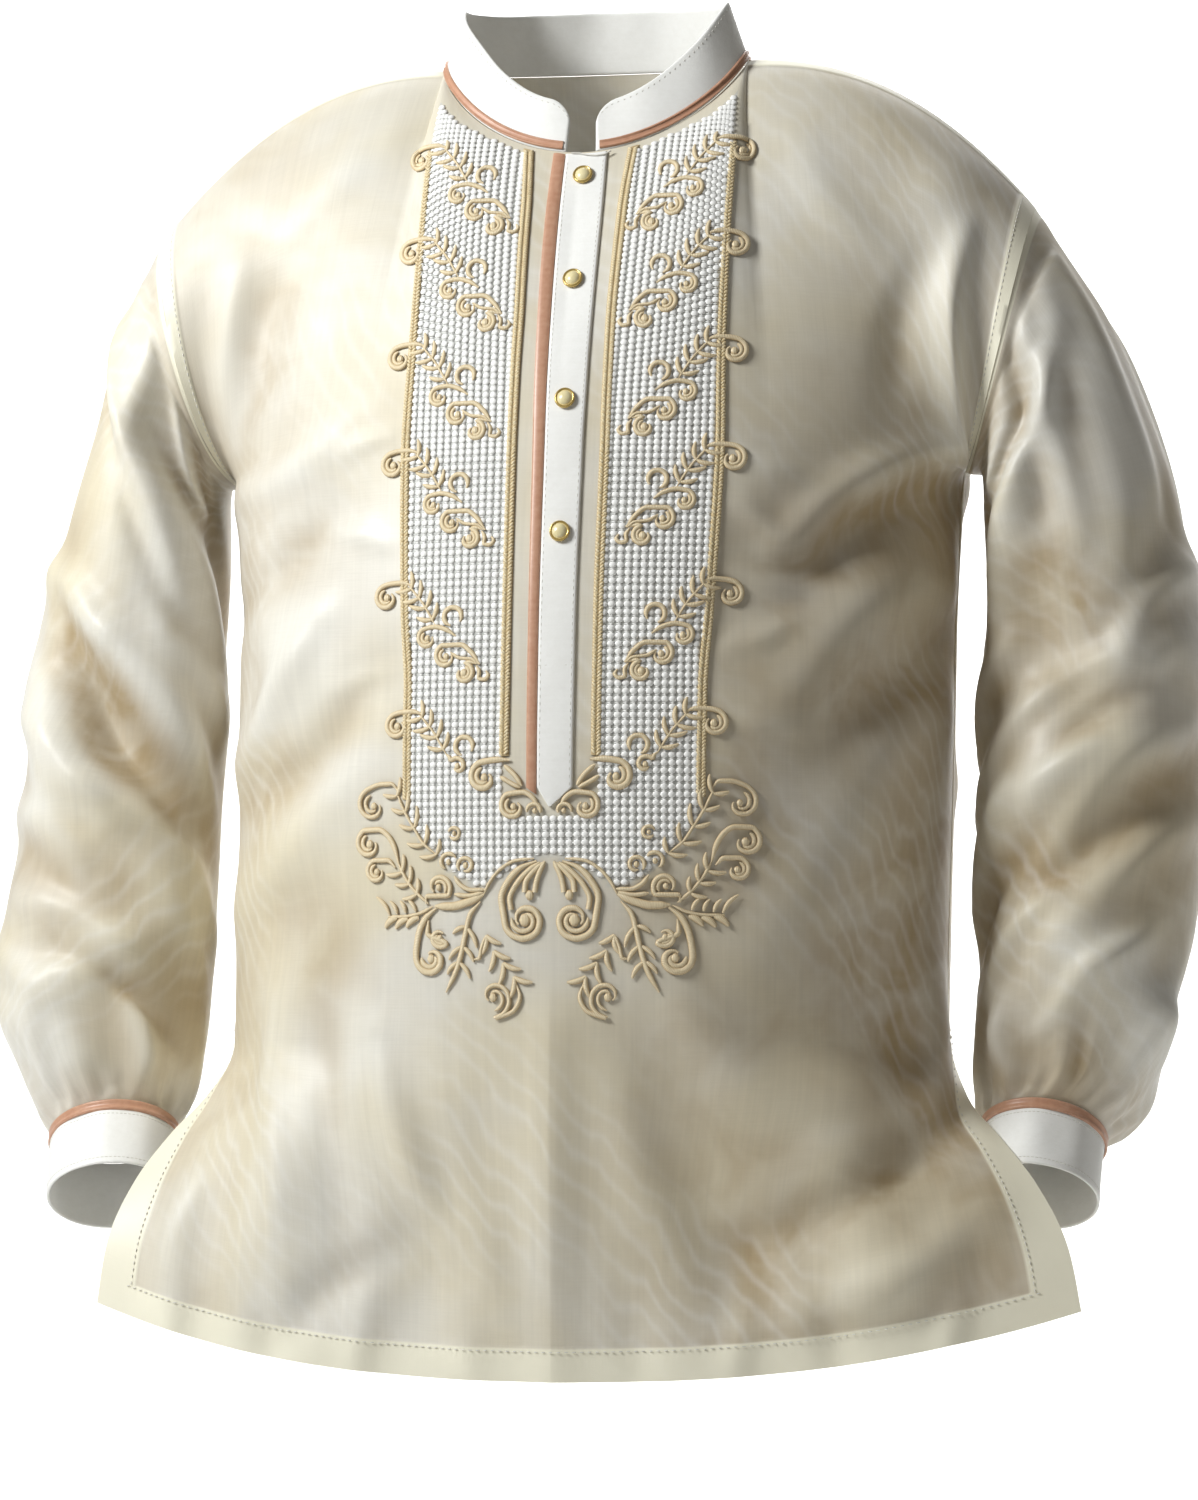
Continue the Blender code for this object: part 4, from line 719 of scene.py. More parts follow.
def make_sleeve(name, table, creases, hand, finish, white, copper, thread):
    """A sleeve from its armhole to its gathered end, with its cuff, its piping and its stitching."""
    around, rows = 132, 150
    turn = angles(around)
    rings = np.unique(np.concatenate([np.linspace(0, CUFF_RING, rows), [0.10, 0.16, 0.22, 12.85, 12.95]]))
    ring, angle = np.meshgrid(rings, turn, indexing="ij")
    point, middle, down = sleeve_ring(table, np.maximum(ring, 1), angle)
    total = 0
    for lap in (-1, 0, 1):
        total = total + creased(creases, (angle / math.pi + 2 * lap) * HALF_ROUND, -ring * RING_STEP, 1.2)
    folds = total = SLEEVE_GAIN * total * ease(ring / 1.2) * ease(CUFF_RING - ring)
    near = ease((ring - CUFF_RING + 3.4) / 2.4) * ease((CUFF_RING - ring) / 0.5)
    tight = ease((ring - CUFF_RING + 1.3) / 0.9) * ease((CUFF_RING - ring) / 0.25)
    sway = 0.25 * np.sin(2.3 * ring)
    total = total + GATHER_DEPTH * near * np.cos(GATHERS * angle + sway)
    total = total + 0.0013 * tight * np.cos(19 * angle + 0.7 * np.sin(3 * angle))
    head = 0.0016 * np.exp(-((ring - 0.30) / 0.22) ** 2) * ease(ring / 0.12)
    point = point + unit(point - middle) * (total + head)[..., None]
    hole, facing = armhole(turn)
    share = np.minimum(ring, 1)[..., None]
    outer = hole * (1 - share) + point * share
    face = ring_normals(outer)
    face[0] = facing
    axis = unit(down[-1, 0])
    rim = unit(outer[-1] - outer[-1].mean(0))
    radial = unit(rim - axis * np.sum(rim * axis, -1, keepdims=True))
    face[-1] = radial
    mirror = np.array([hand, 1, 1])
    twice = ease((0.22 - ring) / 0.05) + 0 * angle
    inner = outer - face * (THIN + 0.0003 * twice)[..., None]
    uv = np.stack([angle / math.pi * HALF_ROUND, -ring * RING_STEP], -1)
    # Painted shade for the sleeve: more on its inner side and round the elbow, more on the wearer's left
    # sleeve away from the key light, more in crease hollows and less on crease ridges
    shade = 0.35 + 0.35 * np.clip(np.cos(angle), 0, 1) + 0.15 * np.exp(-((ring - 6.5) / 2.0) ** 2)
    shade = np.clip(shade + 0.25 * (hand > 0) - folds * 80, 0, 1)
    made = [walled(f"sleeve_cloth_{name}", outer * mirror, inner * mirror, finish, uv,
                   {"double": twice, "open": 0 * ring, "painted_shade": shade}, wrap=True, flip=hand > 0)]
    made += make_cuff(name, outer[-1], radial, axis, turn, mirror, white, copper, thread)
    return made


def twin(s, rate):
    """The height of two ridges side by side over a strip's width."""
    return max(math.sin(math.pi * min(1, s * rate)), math.sin(math.pi * max(0, s * rate - rate + 1)), 0)


def make_cuff(name, seam, face, axis, turn, mirror, white, copper, thread):
    """A firm cuff on the gathered end, with copper piping round its top and two rows of stitches."""
    flip = mirror[0] > 0
    share = np.array([0, 0.012, 0.03, 0.08, 0.16, 0.26, 0.38, 0.50, 0.62, 0.74, 0.84, 0.92, 0.97, 0.988, 1.0])
    edge = np.minimum(share, 1 - share) * CUFF_HEIGHT
    plump = np.sqrt(1 - np.clip(1 - edge / 0.0010, 0, 1) ** 2) * 0.75 + 0.25
    ripple = 0.0005 * np.sin(5 * turn + 1.0) + 0.0004 * np.sin(9 * turn)
    rows, under = [], []
    for s, k in zip(share, plump):
        base = seam + axis * (SEAM_GAP + CUFF_HEIGHT * s)
        middle = base + face * (CUFF_OUT + CUFF_FLARE * s + ripple * math.sin(math.pi * s))[:, None]
        rows.append(middle + face * CUFF_HALF * k)
        under.append(middle - face * CUFF_HALF * k)
    outer, inner = np.stack(rows), np.stack(under)
    uv = np.stack(np.broadcast_arrays(turn * 0.055, -share[:, None] * CUFF_HEIGHT), -1)
    made = [walled(f"cuff_band_{name}", outer * mirror, inner * mirror, white, uv, wrap=True, flip=flip)]
    rows, under = [], []
    for s in np.linspace(0, 1, 9):
        ridge = 0.0005 + 0.0010 * twin(s, 3)
        down = SEAM_GAP + 0.0006 + CUFF_TRIM_HEIGHT * s
        spot = seam + axis * down + face * (CUFF_OUT + CUFF_HALF + 0.0002)
        rows.append(spot + face * ridge)
        under.append(spot)
    outer, inner = np.stack(rows), np.stack(under)
    uv = np.stack(np.broadcast_arrays(turn * 0.055, -np.linspace(0, 1, 9)[:, None] * CUFF_TRIM_HEIGHT), -1)
    made.append(walled(f"cuff_piping_{name}", outer * mirror, inner * mirror, copper, uv, wrap=True,
                       flip=flip))
    fine = angles(96)
    ring, out = (read(path, fine, turn, 2 * math.pi) for path in (seam, face))
    out = unit(out)
    wave = 0.0005 * np.sin(5 * fine + 1.0) + 0.0004 * np.sin(9 * fine)
    spots, outs, runs = [], [], []
    for depth in (0.0105, CUFF_HEIGHT - 0.0040):
        s = depth / CUFF_HEIGHT
        lift = CUFF_OUT + CUFF_FLARE * s + wave * math.sin(math.pi * s) + CUFF_HALF
        spot = ring + axis * (SEAM_GAP + depth) + out * lift[:, None]
        spots.append(spot * mirror)
        outs.append(out * mirror)
        runs.append(unit(np.roll(spot, -1, 0) - np.roll(spot, 1, 0)) * mirror)
    made.append(beads(f"cuff_stitches_{name}", spots, outs, runs, STITCH_SIZE, thread))
    return made


# ---------------------------------------------------------------- collar, placket and buttons

def make_collar(white, copper, thread):
    """The stand collar, its two copper ridges and its edge stitching."""
    strip = float(along(LINES, "strip", 0.0))
    lead = np.linspace(strip, NECK_SHARE, 60)
    behind = np.linspace(-NECK_SHARE, NECK_SHARE, 90)[1:-1]
    ring = np.concatenate([top_edge(-1, -lead), top_edge(1, behind), top_edge(-1, lead[::-1])])
    place = reached(ring)
    at = np.linspace(0, place[-1], 230)
    at = np.unique(np.concatenate([at, np.linspace(0, 0.016, 17), place[-1] - np.linspace(0, 0.016, 17)]))
    foot = read(ring, at, place)
    out = unit((foot - [0.0, SHOULDER_Y, 0.0]) * [1, 1, 0])
    rise = unit(np.array([0, 0, 1.0]) - out * COLLAR_LEAN)
    end = np.minimum(at, place[-1] - at)
    high = COLLAR_FRONT + (COLLAR_HEIGHT - COLLAR_FRONT) * ease((end - 0.02) / 0.08)
    short = np.clip(1 - end / CORNER_ROUND, 0, 1)
    high = high - CORNER_ROUND * (1 - np.sqrt(1 - short**2 * 0.97))
    base = foot + np.array([0, 0, 0.0004])
    wave = 0.0007 * np.sin(at * 58 + 0.6) + 0.0005 * np.sin(at * 131)
    share = np.array([0, 0.02, 0.06, 0.14, 0.24, 0.36, 0.48, 0.60, 0.72, 0.83, 0.91, 0.955, 0.98, 0.993, 1.0])

    side = unit(out - rise * np.sum(out * rise, -1, keepdims=True))

    def skin(s, lift):
        spot = base + rise * (high * s)[:, None]
        return spot + side * (lift - COLLAR_WALL / 2 + wave * math.sin(math.pi * s / 2))[:, None]

    rows, under = [], []
    for s in share:
        edge = np.minimum(np.minimum(s, 1 - s) * high, end)
        plump = (np.sqrt(1 - np.clip(1 - edge / 0.0012, 0, 1) ** 2) * 0.8 + 0.2) * COLLAR_WALL / 2
        rows.append(skin(s, plump))
        under.append(skin(s, -plump))
    outer, inner = np.stack(rows), np.stack(under)
    flip = np.sum(np.cross(outer[0, 1] - outer[0, 0], outer[1, 0] - outer[0, 0]) * out[0]) < 0
    uv = np.stack(np.broadcast_arrays(at, share[:, None] * COLLAR_MIDDLE), -1)
    made = [walled("collar_stand", outer, inner, white, uv, flip=flip)]
    keep = slice(3, -3)
    rows, under = [], []
    for s in np.linspace(0, 1, 11):
        ridge = 0.0004 + 0.0010 * twin(s, 3.3)
        line = base + rise * (0.0010 + TRIM_HEIGHT * s) + side * (SEAM_GAP + wave * 0.2)[:, None]
        rows.append(line + side * ridge)
        under.append(line)
    outer, inner = np.stack(rows)[:, keep], np.stack(under)[:, keep]
    uv = np.stack(np.broadcast_arrays(at[None, keep], np.linspace(0, 1, 11)[:, None] * TRIM_HEIGHT), -1)
    made.append(walled("collar_piping", outer, inner, copper, uv, flip=flip))
    line = skin(1 - 0.0032 / COLLAR_MIDDLE, COLLAR_WALL / 2)
    reach = reached(line)
    along_it = np.arange(0.006, reach[-1] - 0.006, 0.0040)
    spot = read(line, along_it, reach)
    sideways = unit((spot - [0.0, SHOULDER_Y, 0.0]) * [1, 1, 0])
    made.append(beads("collar_stitches", spot, sideways, unit(np.gradient(spot, axis=0)),
                      (0.0022, 0.0006, 0.0005), thread))
    return made


def tube(name, path, radius, finish, sides=8):
    """A closed round thread along a path of points."""
    path = np.asarray(path, float)
    run = unit(np.gradient(path, axis=0))
    side = unit(np.cross(run, [0.13, 0.31, 0.94]))
    lift = np.cross(side, run)
    turn = angles(sides)
    swell = radius * np.minimum(1, 0.4 + np.minimum(np.arange(len(path)), np.arange(len(path))[::-1]) * 0.6)
    ring = side[:, None] * np.cos(turn)[None, :, None] + lift[:, None] * np.sin(turn)[None, :, None]
    points = (path[:, None] + ring * swell[:, None, None]).reshape(-1, 3)
    faces = []
    for i in range(len(path) - 1):
        for j in range(sides):
            k = (j + 1) % sides
            faces.append((i * sides + j, i * sides + sides + j, i * sides + sides + k, i * sides + k))
    faces.append(tuple(range(sides)))
    faces.append(tuple((len(path) - 1) * sides + j for j in reversed(range(sides))))
    uv = np.stack([np.tile(turn, len(path)) * radius, np.repeat(np.arange(len(path)), sides) * 0.001], -1)
    return piece(name, points, faces, finish, uv)


def make_placket(white, copper, thread):
    """The placket band with its pointed foot, copper strip, inner band, stitches and thread loop."""
    levels = np.concatenate([np.linspace(POINT_TOP, -0.003, 130), np.linspace(POINT_TIP, POINT_TOP, 10)])
    levels = np.unique(levels)
    strip, placket = along(LINES, "strip", levels), along(LINES, "placket", levels)
    w = np.concatenate([[-1, -0.97, -0.93], np.linspace(-0.85, 0.85, 13), [0.93, 0.97, 1]])
    gap = 0.0006
    middle, half = (placket - strip + gap) / 2, (placket + strip - gap) / 2
    narrow = np.where(levels < POINT_TOP, 0.06 + 0.94 * (levels - POINT_TIP) / (POINT_TOP - POINT_TIP), 1.0)
    centre = middle * narrow
    shares = centre[:, None] + w[None, :] * (half * narrow)[:, None]
    thick = PLACKET_WALL * np.sqrt(1 - np.clip((np.abs(w) - 0.92) / 0.08, 0, 1) ** 2 * 0.9)
    swell = 0.0003 * np.sin(levels * 47)[:, None] * np.cos(w * math.pi / 2)[None, :]
    heights = PLACKET_BASE + thick[None, :] + np.abs(swell)
    made = [band("placket_band", shares, levels[:, None], heights, PLACKET_BASE * 0.5, white)]
    upper = levels[levels >= POINT_TOP - 1e-9]
    first, second = along(LINES, "strip", upper) + gap, along(LINES, "placket", upper)
    t = np.linspace(0, 1, 9)
    shares = -(first[:, None] + (second - first)[:, None] * (1 - t[None, :]))
    crown = PLACKET_BASE + PLACKET_WALL * (0.45 + 0.55 * np.sin(math.pi * t) ** 0.5)
    drop = upper[:, None] - 0.004 * t[None, :] * (upper[:, None] < POINT_TOP + 1e-6)
    made.append(band("placket_piping", shares, drop, crown[None, :], PLACKET_BASE * 0.5, copper))
    inside = np.linspace(SLIT_END, -0.008, 60)
    half = along(LINES, "placket", inside) * 0.9
    shares = w[None, :] * half[:, None]
    deep = -(THIN + 0.0010)
    made.append(band("placket_stand", shares, inside[:, None], deep, deep - 0.0012, white))
    rows = np.arange(POINT_TOP + 0.002, -0.008, 0.0042)
    seams = [(along(LINES, "placket", rows) - 0.0052, rows, 1),
             (-along(LINES, "strip", rows) + 0.0052, rows, 1),
             (np.linspace(-0.0185, 0.0365, 6), np.full(6, -0.376), 0)]
    made.append(running("placket_stitches", -1, seams, PLACKET_BASE + PLACKET_WALL, STITCH_SIZE, thread))
    loop = [(-0.0055, -0.0605), (-0.001, -0.0640), (0.004, -0.0655), (0.010, -0.0662), (0.0155, -0.0655),
            (0.0190, -0.0630)]
    x, z = np.array(loop).T
    t = np.linspace(0, 1, 30)
    x, z = (np.interp(t, np.linspace(0, 1, 6), a) for a in (x, z))
    u, level = pin(x, np.minimum(z, -0.0636))
    spot = on_cloth(-1, u, level, np.full(u.shape, PLACKET_BASE + PLACKET_WALL + 0.0006))[0]
    made.append(tube("thread_loop", spot, 0.0005, thread))
    return made


def make_button(number, z, finish):
    """A turned button: a cream dome inside a thick golden rim."""
    radius = (0.0052, 0.0060, 0.0063, 0.0062, 0.0058, 0.0053, 0.0049, 0.0046, 0.0043, 0.0036, 0.0026, 0.0014)
    height = (0.0000, 0.0004, 0.0011, 0.0018, 0.0023, 0.0023, 0.0019, 0.0016, 0.0019, 0.0026, 0.0031, 0.0035)
    share, level = pin(BUTTON_X, z)
    seat, out, across, up = (a.reshape(3) for a in on_cloth(-1, share, level, PLACKET_BASE + PLACKET_WALL
                                                            + SEAM_GAP + 0.0001))
    sides = 44
    turn = angles(sides)
    spoke = across * np.cos(turn)[:, None] * 0.96 + up * np.sin(turn)[:, None]
    points = [seat]
    for r, h in zip(radius, height):
        points.extend(seat + out * h + spoke * r)
    points.append(seat + out * 0.0036)
    faces, last = [], len(points) - 1
    ahead = np.dot(np.cross(across, up), out) > 0
    for i in range(sides):
        k = (i + 1) % sides
        faces.append((0, 1 + k, 1 + i))
        for r in range(len(radius) - 1):
            a = 1 + r * sides
            faces.append((a + i, a + k, a + sides + k, a + sides + i))
        a = 1 + (len(radius) - 1) * sides
        faces.append((a + i, a + k, last))
    if not ahead:
        faces = [f[::-1] for f in faces]
    rim = [1.0] + [1.0 if r > 0.0047 else 0.0 for r in radius for _ in range(sides)] + [0.0]
    flat = np.array([[np.dot(p - seat, across), np.dot(p - seat, up)] for p in points])
    return piece(f"button_dome_{number}", points, faces, finish, flat, {"rim": rim})


# ---------------------------------------------------------------- openwork, braids and embroidery

def make_openwork(finish):
    """The net: rows of plump sideways knots with fine bars between the rows."""
    pitch_u, pitch = 0.01333, 0.0046
    rows = np.arange(-0.506, -0.006, pitch)
    columns = (np.arange(-24, 24) + 0.5) * pitch_u
    u, level = np.meshgrid(columns, rows)
    keep = in_openwork(u, level, 0.004)
    spot, out, across, up = on_cloth(-1, u[keep], level[keep], np.full(keep.sum(), 0.0004))
    wobble = 0.08 * np.sin(u[keep] * 311 + level[keep] * 173)
    made = [beads("calado_knots", spot, out, unit(across + up * wobble[:, None]), (0.0046, 0.0040, 0.0015),
                  finish, 8, 4)]
    level = level + pitch / 2
    keep = in_openwork(u, level, 0.004)
    spot, out, across, up = on_cloth(-1, u[keep], level[keep], np.full(keep.sum(), 0.0002))
    made.append(beads("calado_bars", spot, out, across, (0.0044, 0.0009, 0.0008), finish, 4, 3))
    return made


def make_braid(name, line, top, foot, hand, finish, deep):
    """A flat braid with two rows of slanted chain stitches."""
    levels = np.linspace(foot, top, 120)
    centre = along(LINES, line, levels)
    w = np.linspace(-1, 1, 9)
    shares = hand * (centre[:, None] + 0.0088 * w[None, :] * hand)
    heights = LACE_BASE + 0.0007 * (1 - 0.75 * np.abs(w) ** 3)
    made = [band(f"braid_band_{name}", shares, levels[:, None], heights[None, :], LACE_BASE * 0.4, deep)]
    rows = np.arange(foot + 0.001, top - 0.001, 0.00205)
    spots, outs, runs = [], [], []
    for way, shift in ((1, 0.0), (-1, 0.0010)):
        level = rows + shift
        u = hand * (along(LINES, line, level) + way * 0.0043)
        spot, out, across, up = on_cloth(-1, u, level, np.full(u.shape, LACE_BASE + 0.0007))
        spots.append(spot)
        outs.append(out)
        runs.append(unit(up * math.cos(0.75) + across * (way * hand * math.sin(0.75))))
    made.append(beads(f"braid_links_{name}", spots, outs, runs, (0.0042, 0.0019, 0.0013), finish))
    return made


def spiral(x, z, start, end, first, last, steps):
    """Points on a spiral round x, z: turned from start to end degrees as its radius changes."""
    turn = np.radians(np.linspace(start, end, steps))
    radius = np.linspace(first, last, steps)
    return [(x + r * math.cos(a), z + r * math.sin(a)) for r, a in zip(radius, turn)]


def even(path, count):
    """A path drawn again as a smooth curve with evenly spaced points."""
    path = np.asarray(path, float)
    reach = reached(path)
    table = {"at": reach, "x": path[:, 0], "z": path[:, 1]}
    at = np.linspace(0, reach[-1], count)
    return np.stack([along(table, "x", at, "at"), along(table, "z", at, "at")], -1)


class Needle:
    """Raised satin stitching on one half of the front, in millimetres from the origin."""

    ACROSS = np.array([-1.0, -0.88, -0.5, 0.0, 0.5, 0.88, 1.0])
    WIDEN = 1.25

    def __init__(self, hand, base=0.0009):
        self.hand = hand
        self.base = base
        self.flat, self.heights, self.faces, self.uv, self.tone = [], [], [], [], []
        self.count = 0

    def pad(self, path, width, height=1.2):
        """A rounded pad along a path. Width is its half width, one number or one for each point."""
        path = np.asarray(path, float)
        run = unit(np.gradient(path, axis=0))
        side = np.stack([run[:, 1], -run[:, 0]], -1)
        width = np.broadcast_to(width, len(path))
        width = width * self.WIDEN
        flat = path[:, None] + side[:, None] * (self.ACROSS[None, :, None] * width[:, None, None])
        arch = np.clip(1 - self.ACROSS**2, 0, 1) ** 0.6
        full = np.clip(width / max(width.max(), 1e-6), 0.3, 1)
        heights = self.base + arch[None, :] * full[:, None] * height / 1000
        n, m = heights.shape
        faces = []
        for i in range(n - 1):
            for j in range(m - 1):
                faces.append((i * m + j, i * m + j + 1, i * m + m + j + 1, i * m + m + j))
            faces.append((i * m + m - 1, i * m, i * m + m, i * m + 2 * m - 1))
        faces.append(tuple(reversed(range(m))))
        faces.append(tuple((n - 1) * m + j for j in range(m)))
        reach = reached(path)
        uv = np.stack([self.ACROSS[None, :] * width[:, None], np.repeat(reach[:, None], m, 1)], -1) / 1000
        self.flat.append(flat.reshape(-1, 2))
        self.heights.append(heights.ravel())
        self.faces += [tuple(self.count + i for i in f) for f in faces]
        self.uv.append(uv.reshape(-1, 2))
        # The tone mask runs from 0 at a pad's edges to 1 on its crest: the gold thread's finish uses it to
        # paint shade at the edges and light on the crest
        self.tone.append(np.repeat(arch[None, :], n, 0).ravel())
        self.count += n * m

    def line(self, path, half=1.15, height=1.2, ends=(0.4, 0.4), swell=0.0):
        """A smooth line that thins at its ends and may swell in its middle."""
        path = even(path, max(9, int(reached(np.asarray(path, float))[-1] / 1.25)))
        t = np.linspace(0, 1, len(path))
        thin = np.minimum(*(e + (1 - e) * ease(run / 0.16) for e, run in zip(ends, (t, 1 - t))))
        self.pad(path, half * thin * (1 + swell * np.sin(math.pi * t)), height)

    def leaf(self, x, z, to_x, to_z, half=1.2, bend=0.12, height=1.25):
        """A slim leaf from its foot to its tip, bent aside by a share of its length."""
        t = np.linspace(0, 1, 8)
        bow = bend * 4 * t * (1 - t)
        path = np.stack([x + (to_x - x) * t - (to_z - z) * bow, z + (to_z - z) * t + (to_x - x) * bow], -1)
        self.pad(path, half * (0.14 + 0.86 * np.sin(math.pi * np.clip(0.10 + 0.84 * t, 0, 1)) ** 0.8), height)

    def pairs(self, rows, half=1.2, corner=(0, 0)):
        """Pairs of leaves that spring from points, each given by how far its tip lies from there."""
        for across, up, first, second in rows:
            x, z = corner[0] + across, corner[1] + up
            self.leaf(x, z, x + first[0], z + first[1], half, 0.10)
            self.leaf(x, z, x + second[0], z + second[1], half, -0.10)

    def ball(self, x, z, radius, height=1.3):
        """A small round knot."""
        t = np.linspace(-1, 1, 7)
        path = np.stack([x + radius * t, np.full(7, z)], -1)
        self.pad(path, radius * np.sqrt(np.clip(1.04 - t**2, 0, 1)), height)

    def curl(self, x, z, start, end, first, last, half=1.1, knot=1.4, lead=()):
        """A curled line round x, z with a knot in its middle. It may begin with a lead of its own."""
        path = [*lead, *spiral(x, z, start, end, first, last, 14)]
        self.line(path, half)
        if first > 5.5:
            inner = spiral(x, z, start, start + 0.72 * (end - start), 0.64 * first, 0.7 * last, 14)
            self.line(inner, 0.8 * half, 0.9)
        if knot:
            self.ball(x, z, 1.2 * knot)

    def sew(self, name, finish):
        """The stitching as one mesh that lies on the cloth."""
        flat = np.concatenate(self.flat) / 1000
        u, level = pin(self.hand * flat[:, 0], flat[:, 1])
        points = on_front(u, level, np.concatenate(self.heights))[0]
        faces = self.faces if self.hand < 0 else [f[::-1] for f in self.faces]
        masks = {"tone": np.concatenate(self.tone)}
        return piece(name, points, faces, finish, np.concatenate(self.uv), masks)


SPRAYS = {
    "x": (0.1005, 0.1005, 0.1030, 0.1040, 0.1050, 0.0965),
    "z": (-0.0610, -0.1215, -0.1870, -0.2515, -0.3305, -0.4065),
    "full": (1, 1, 1, 1, 1, 0),
    "leaf": (0.45, 1.0, 1.0, 1.0, 1.0, 1.0),     # how long the leaf is that points up the braid
}


def make_spray(name, x, z, full, leaf, hand, finish):
    """A leafy scroll: an outer curl, paired leaves, a hook, two commas and a curled end."""
    sewing = Needle(hand)
    x, z = x * 1000 - 3.5, z * 1000 - 3.0

    def at(path):
        return [(x + a, z + b) for a, b in path]

    sewing.curl(x, z, 72, -222, 7.6, 3.6, 1.25, 1.7, at([(-16, 6.8), (-9, 8.6), (-3, 8.4)]))
    up = 4.0 + 6.0 * leaf
    sewing.pairs([
        (-15.5, 5, (0.6, up), (10, -1.6)), (-20.5, -0.8, (-0.4, 10.5), (10.6, -2)),
        (-25, -7, (-2.6, 10.5), (10.4, 2)), (-29, -14, (-3, 10), (9.6, 1.8))], corner=(x, z))
    sewing.line(at([(-14, 6.5), (-18, 2), (-23, -4), (-27.5, -11), (-31, -17)]), 0.6, 0.8)
    sewing.curl(x - 42, z - 12.5, 215, -75, 5.4, 5.4, 1.2, 0)
    if not full:
        sewing.curl(x - 38, z - 24, 40, 330, 5.2, 2.2, 1.1, 1.3, at([(-31, -17), (-33, -18.5)]))
        return sewing.sew(name, finish)
    sewing.curl(x - 26.5, z - 25, 60, -200, 6.2, 3, 1.15, 1.4, at([(-44, -24), (-38, -20), (-31, -18.2)]))
    sewing.curl(x - 38.5, z - 36, 68, -200, 7.2, 3.2, 1.2, 1.5, at([(-59, -41), (-54, -34), (-47, -29.2)]))
    sewing.line(at([(-41, -33.5), (-47, -37), (-54, -37.8), (-58.5, -41)]), 0.8)
    sewing.curl(x - 49.5, z - 46, 100, 395, 6, 3.2, 1.2, 1.8, at([(-57, -40.5), (-53, -39.6)]))
    sewing.line(at([(-57, -41.5), (-59, -45.5), (-58.5, -49), (-62, -50), (-64.5, -47.5), (-63, -45)]), 0.95)
    return sewing.sew(name, finish)


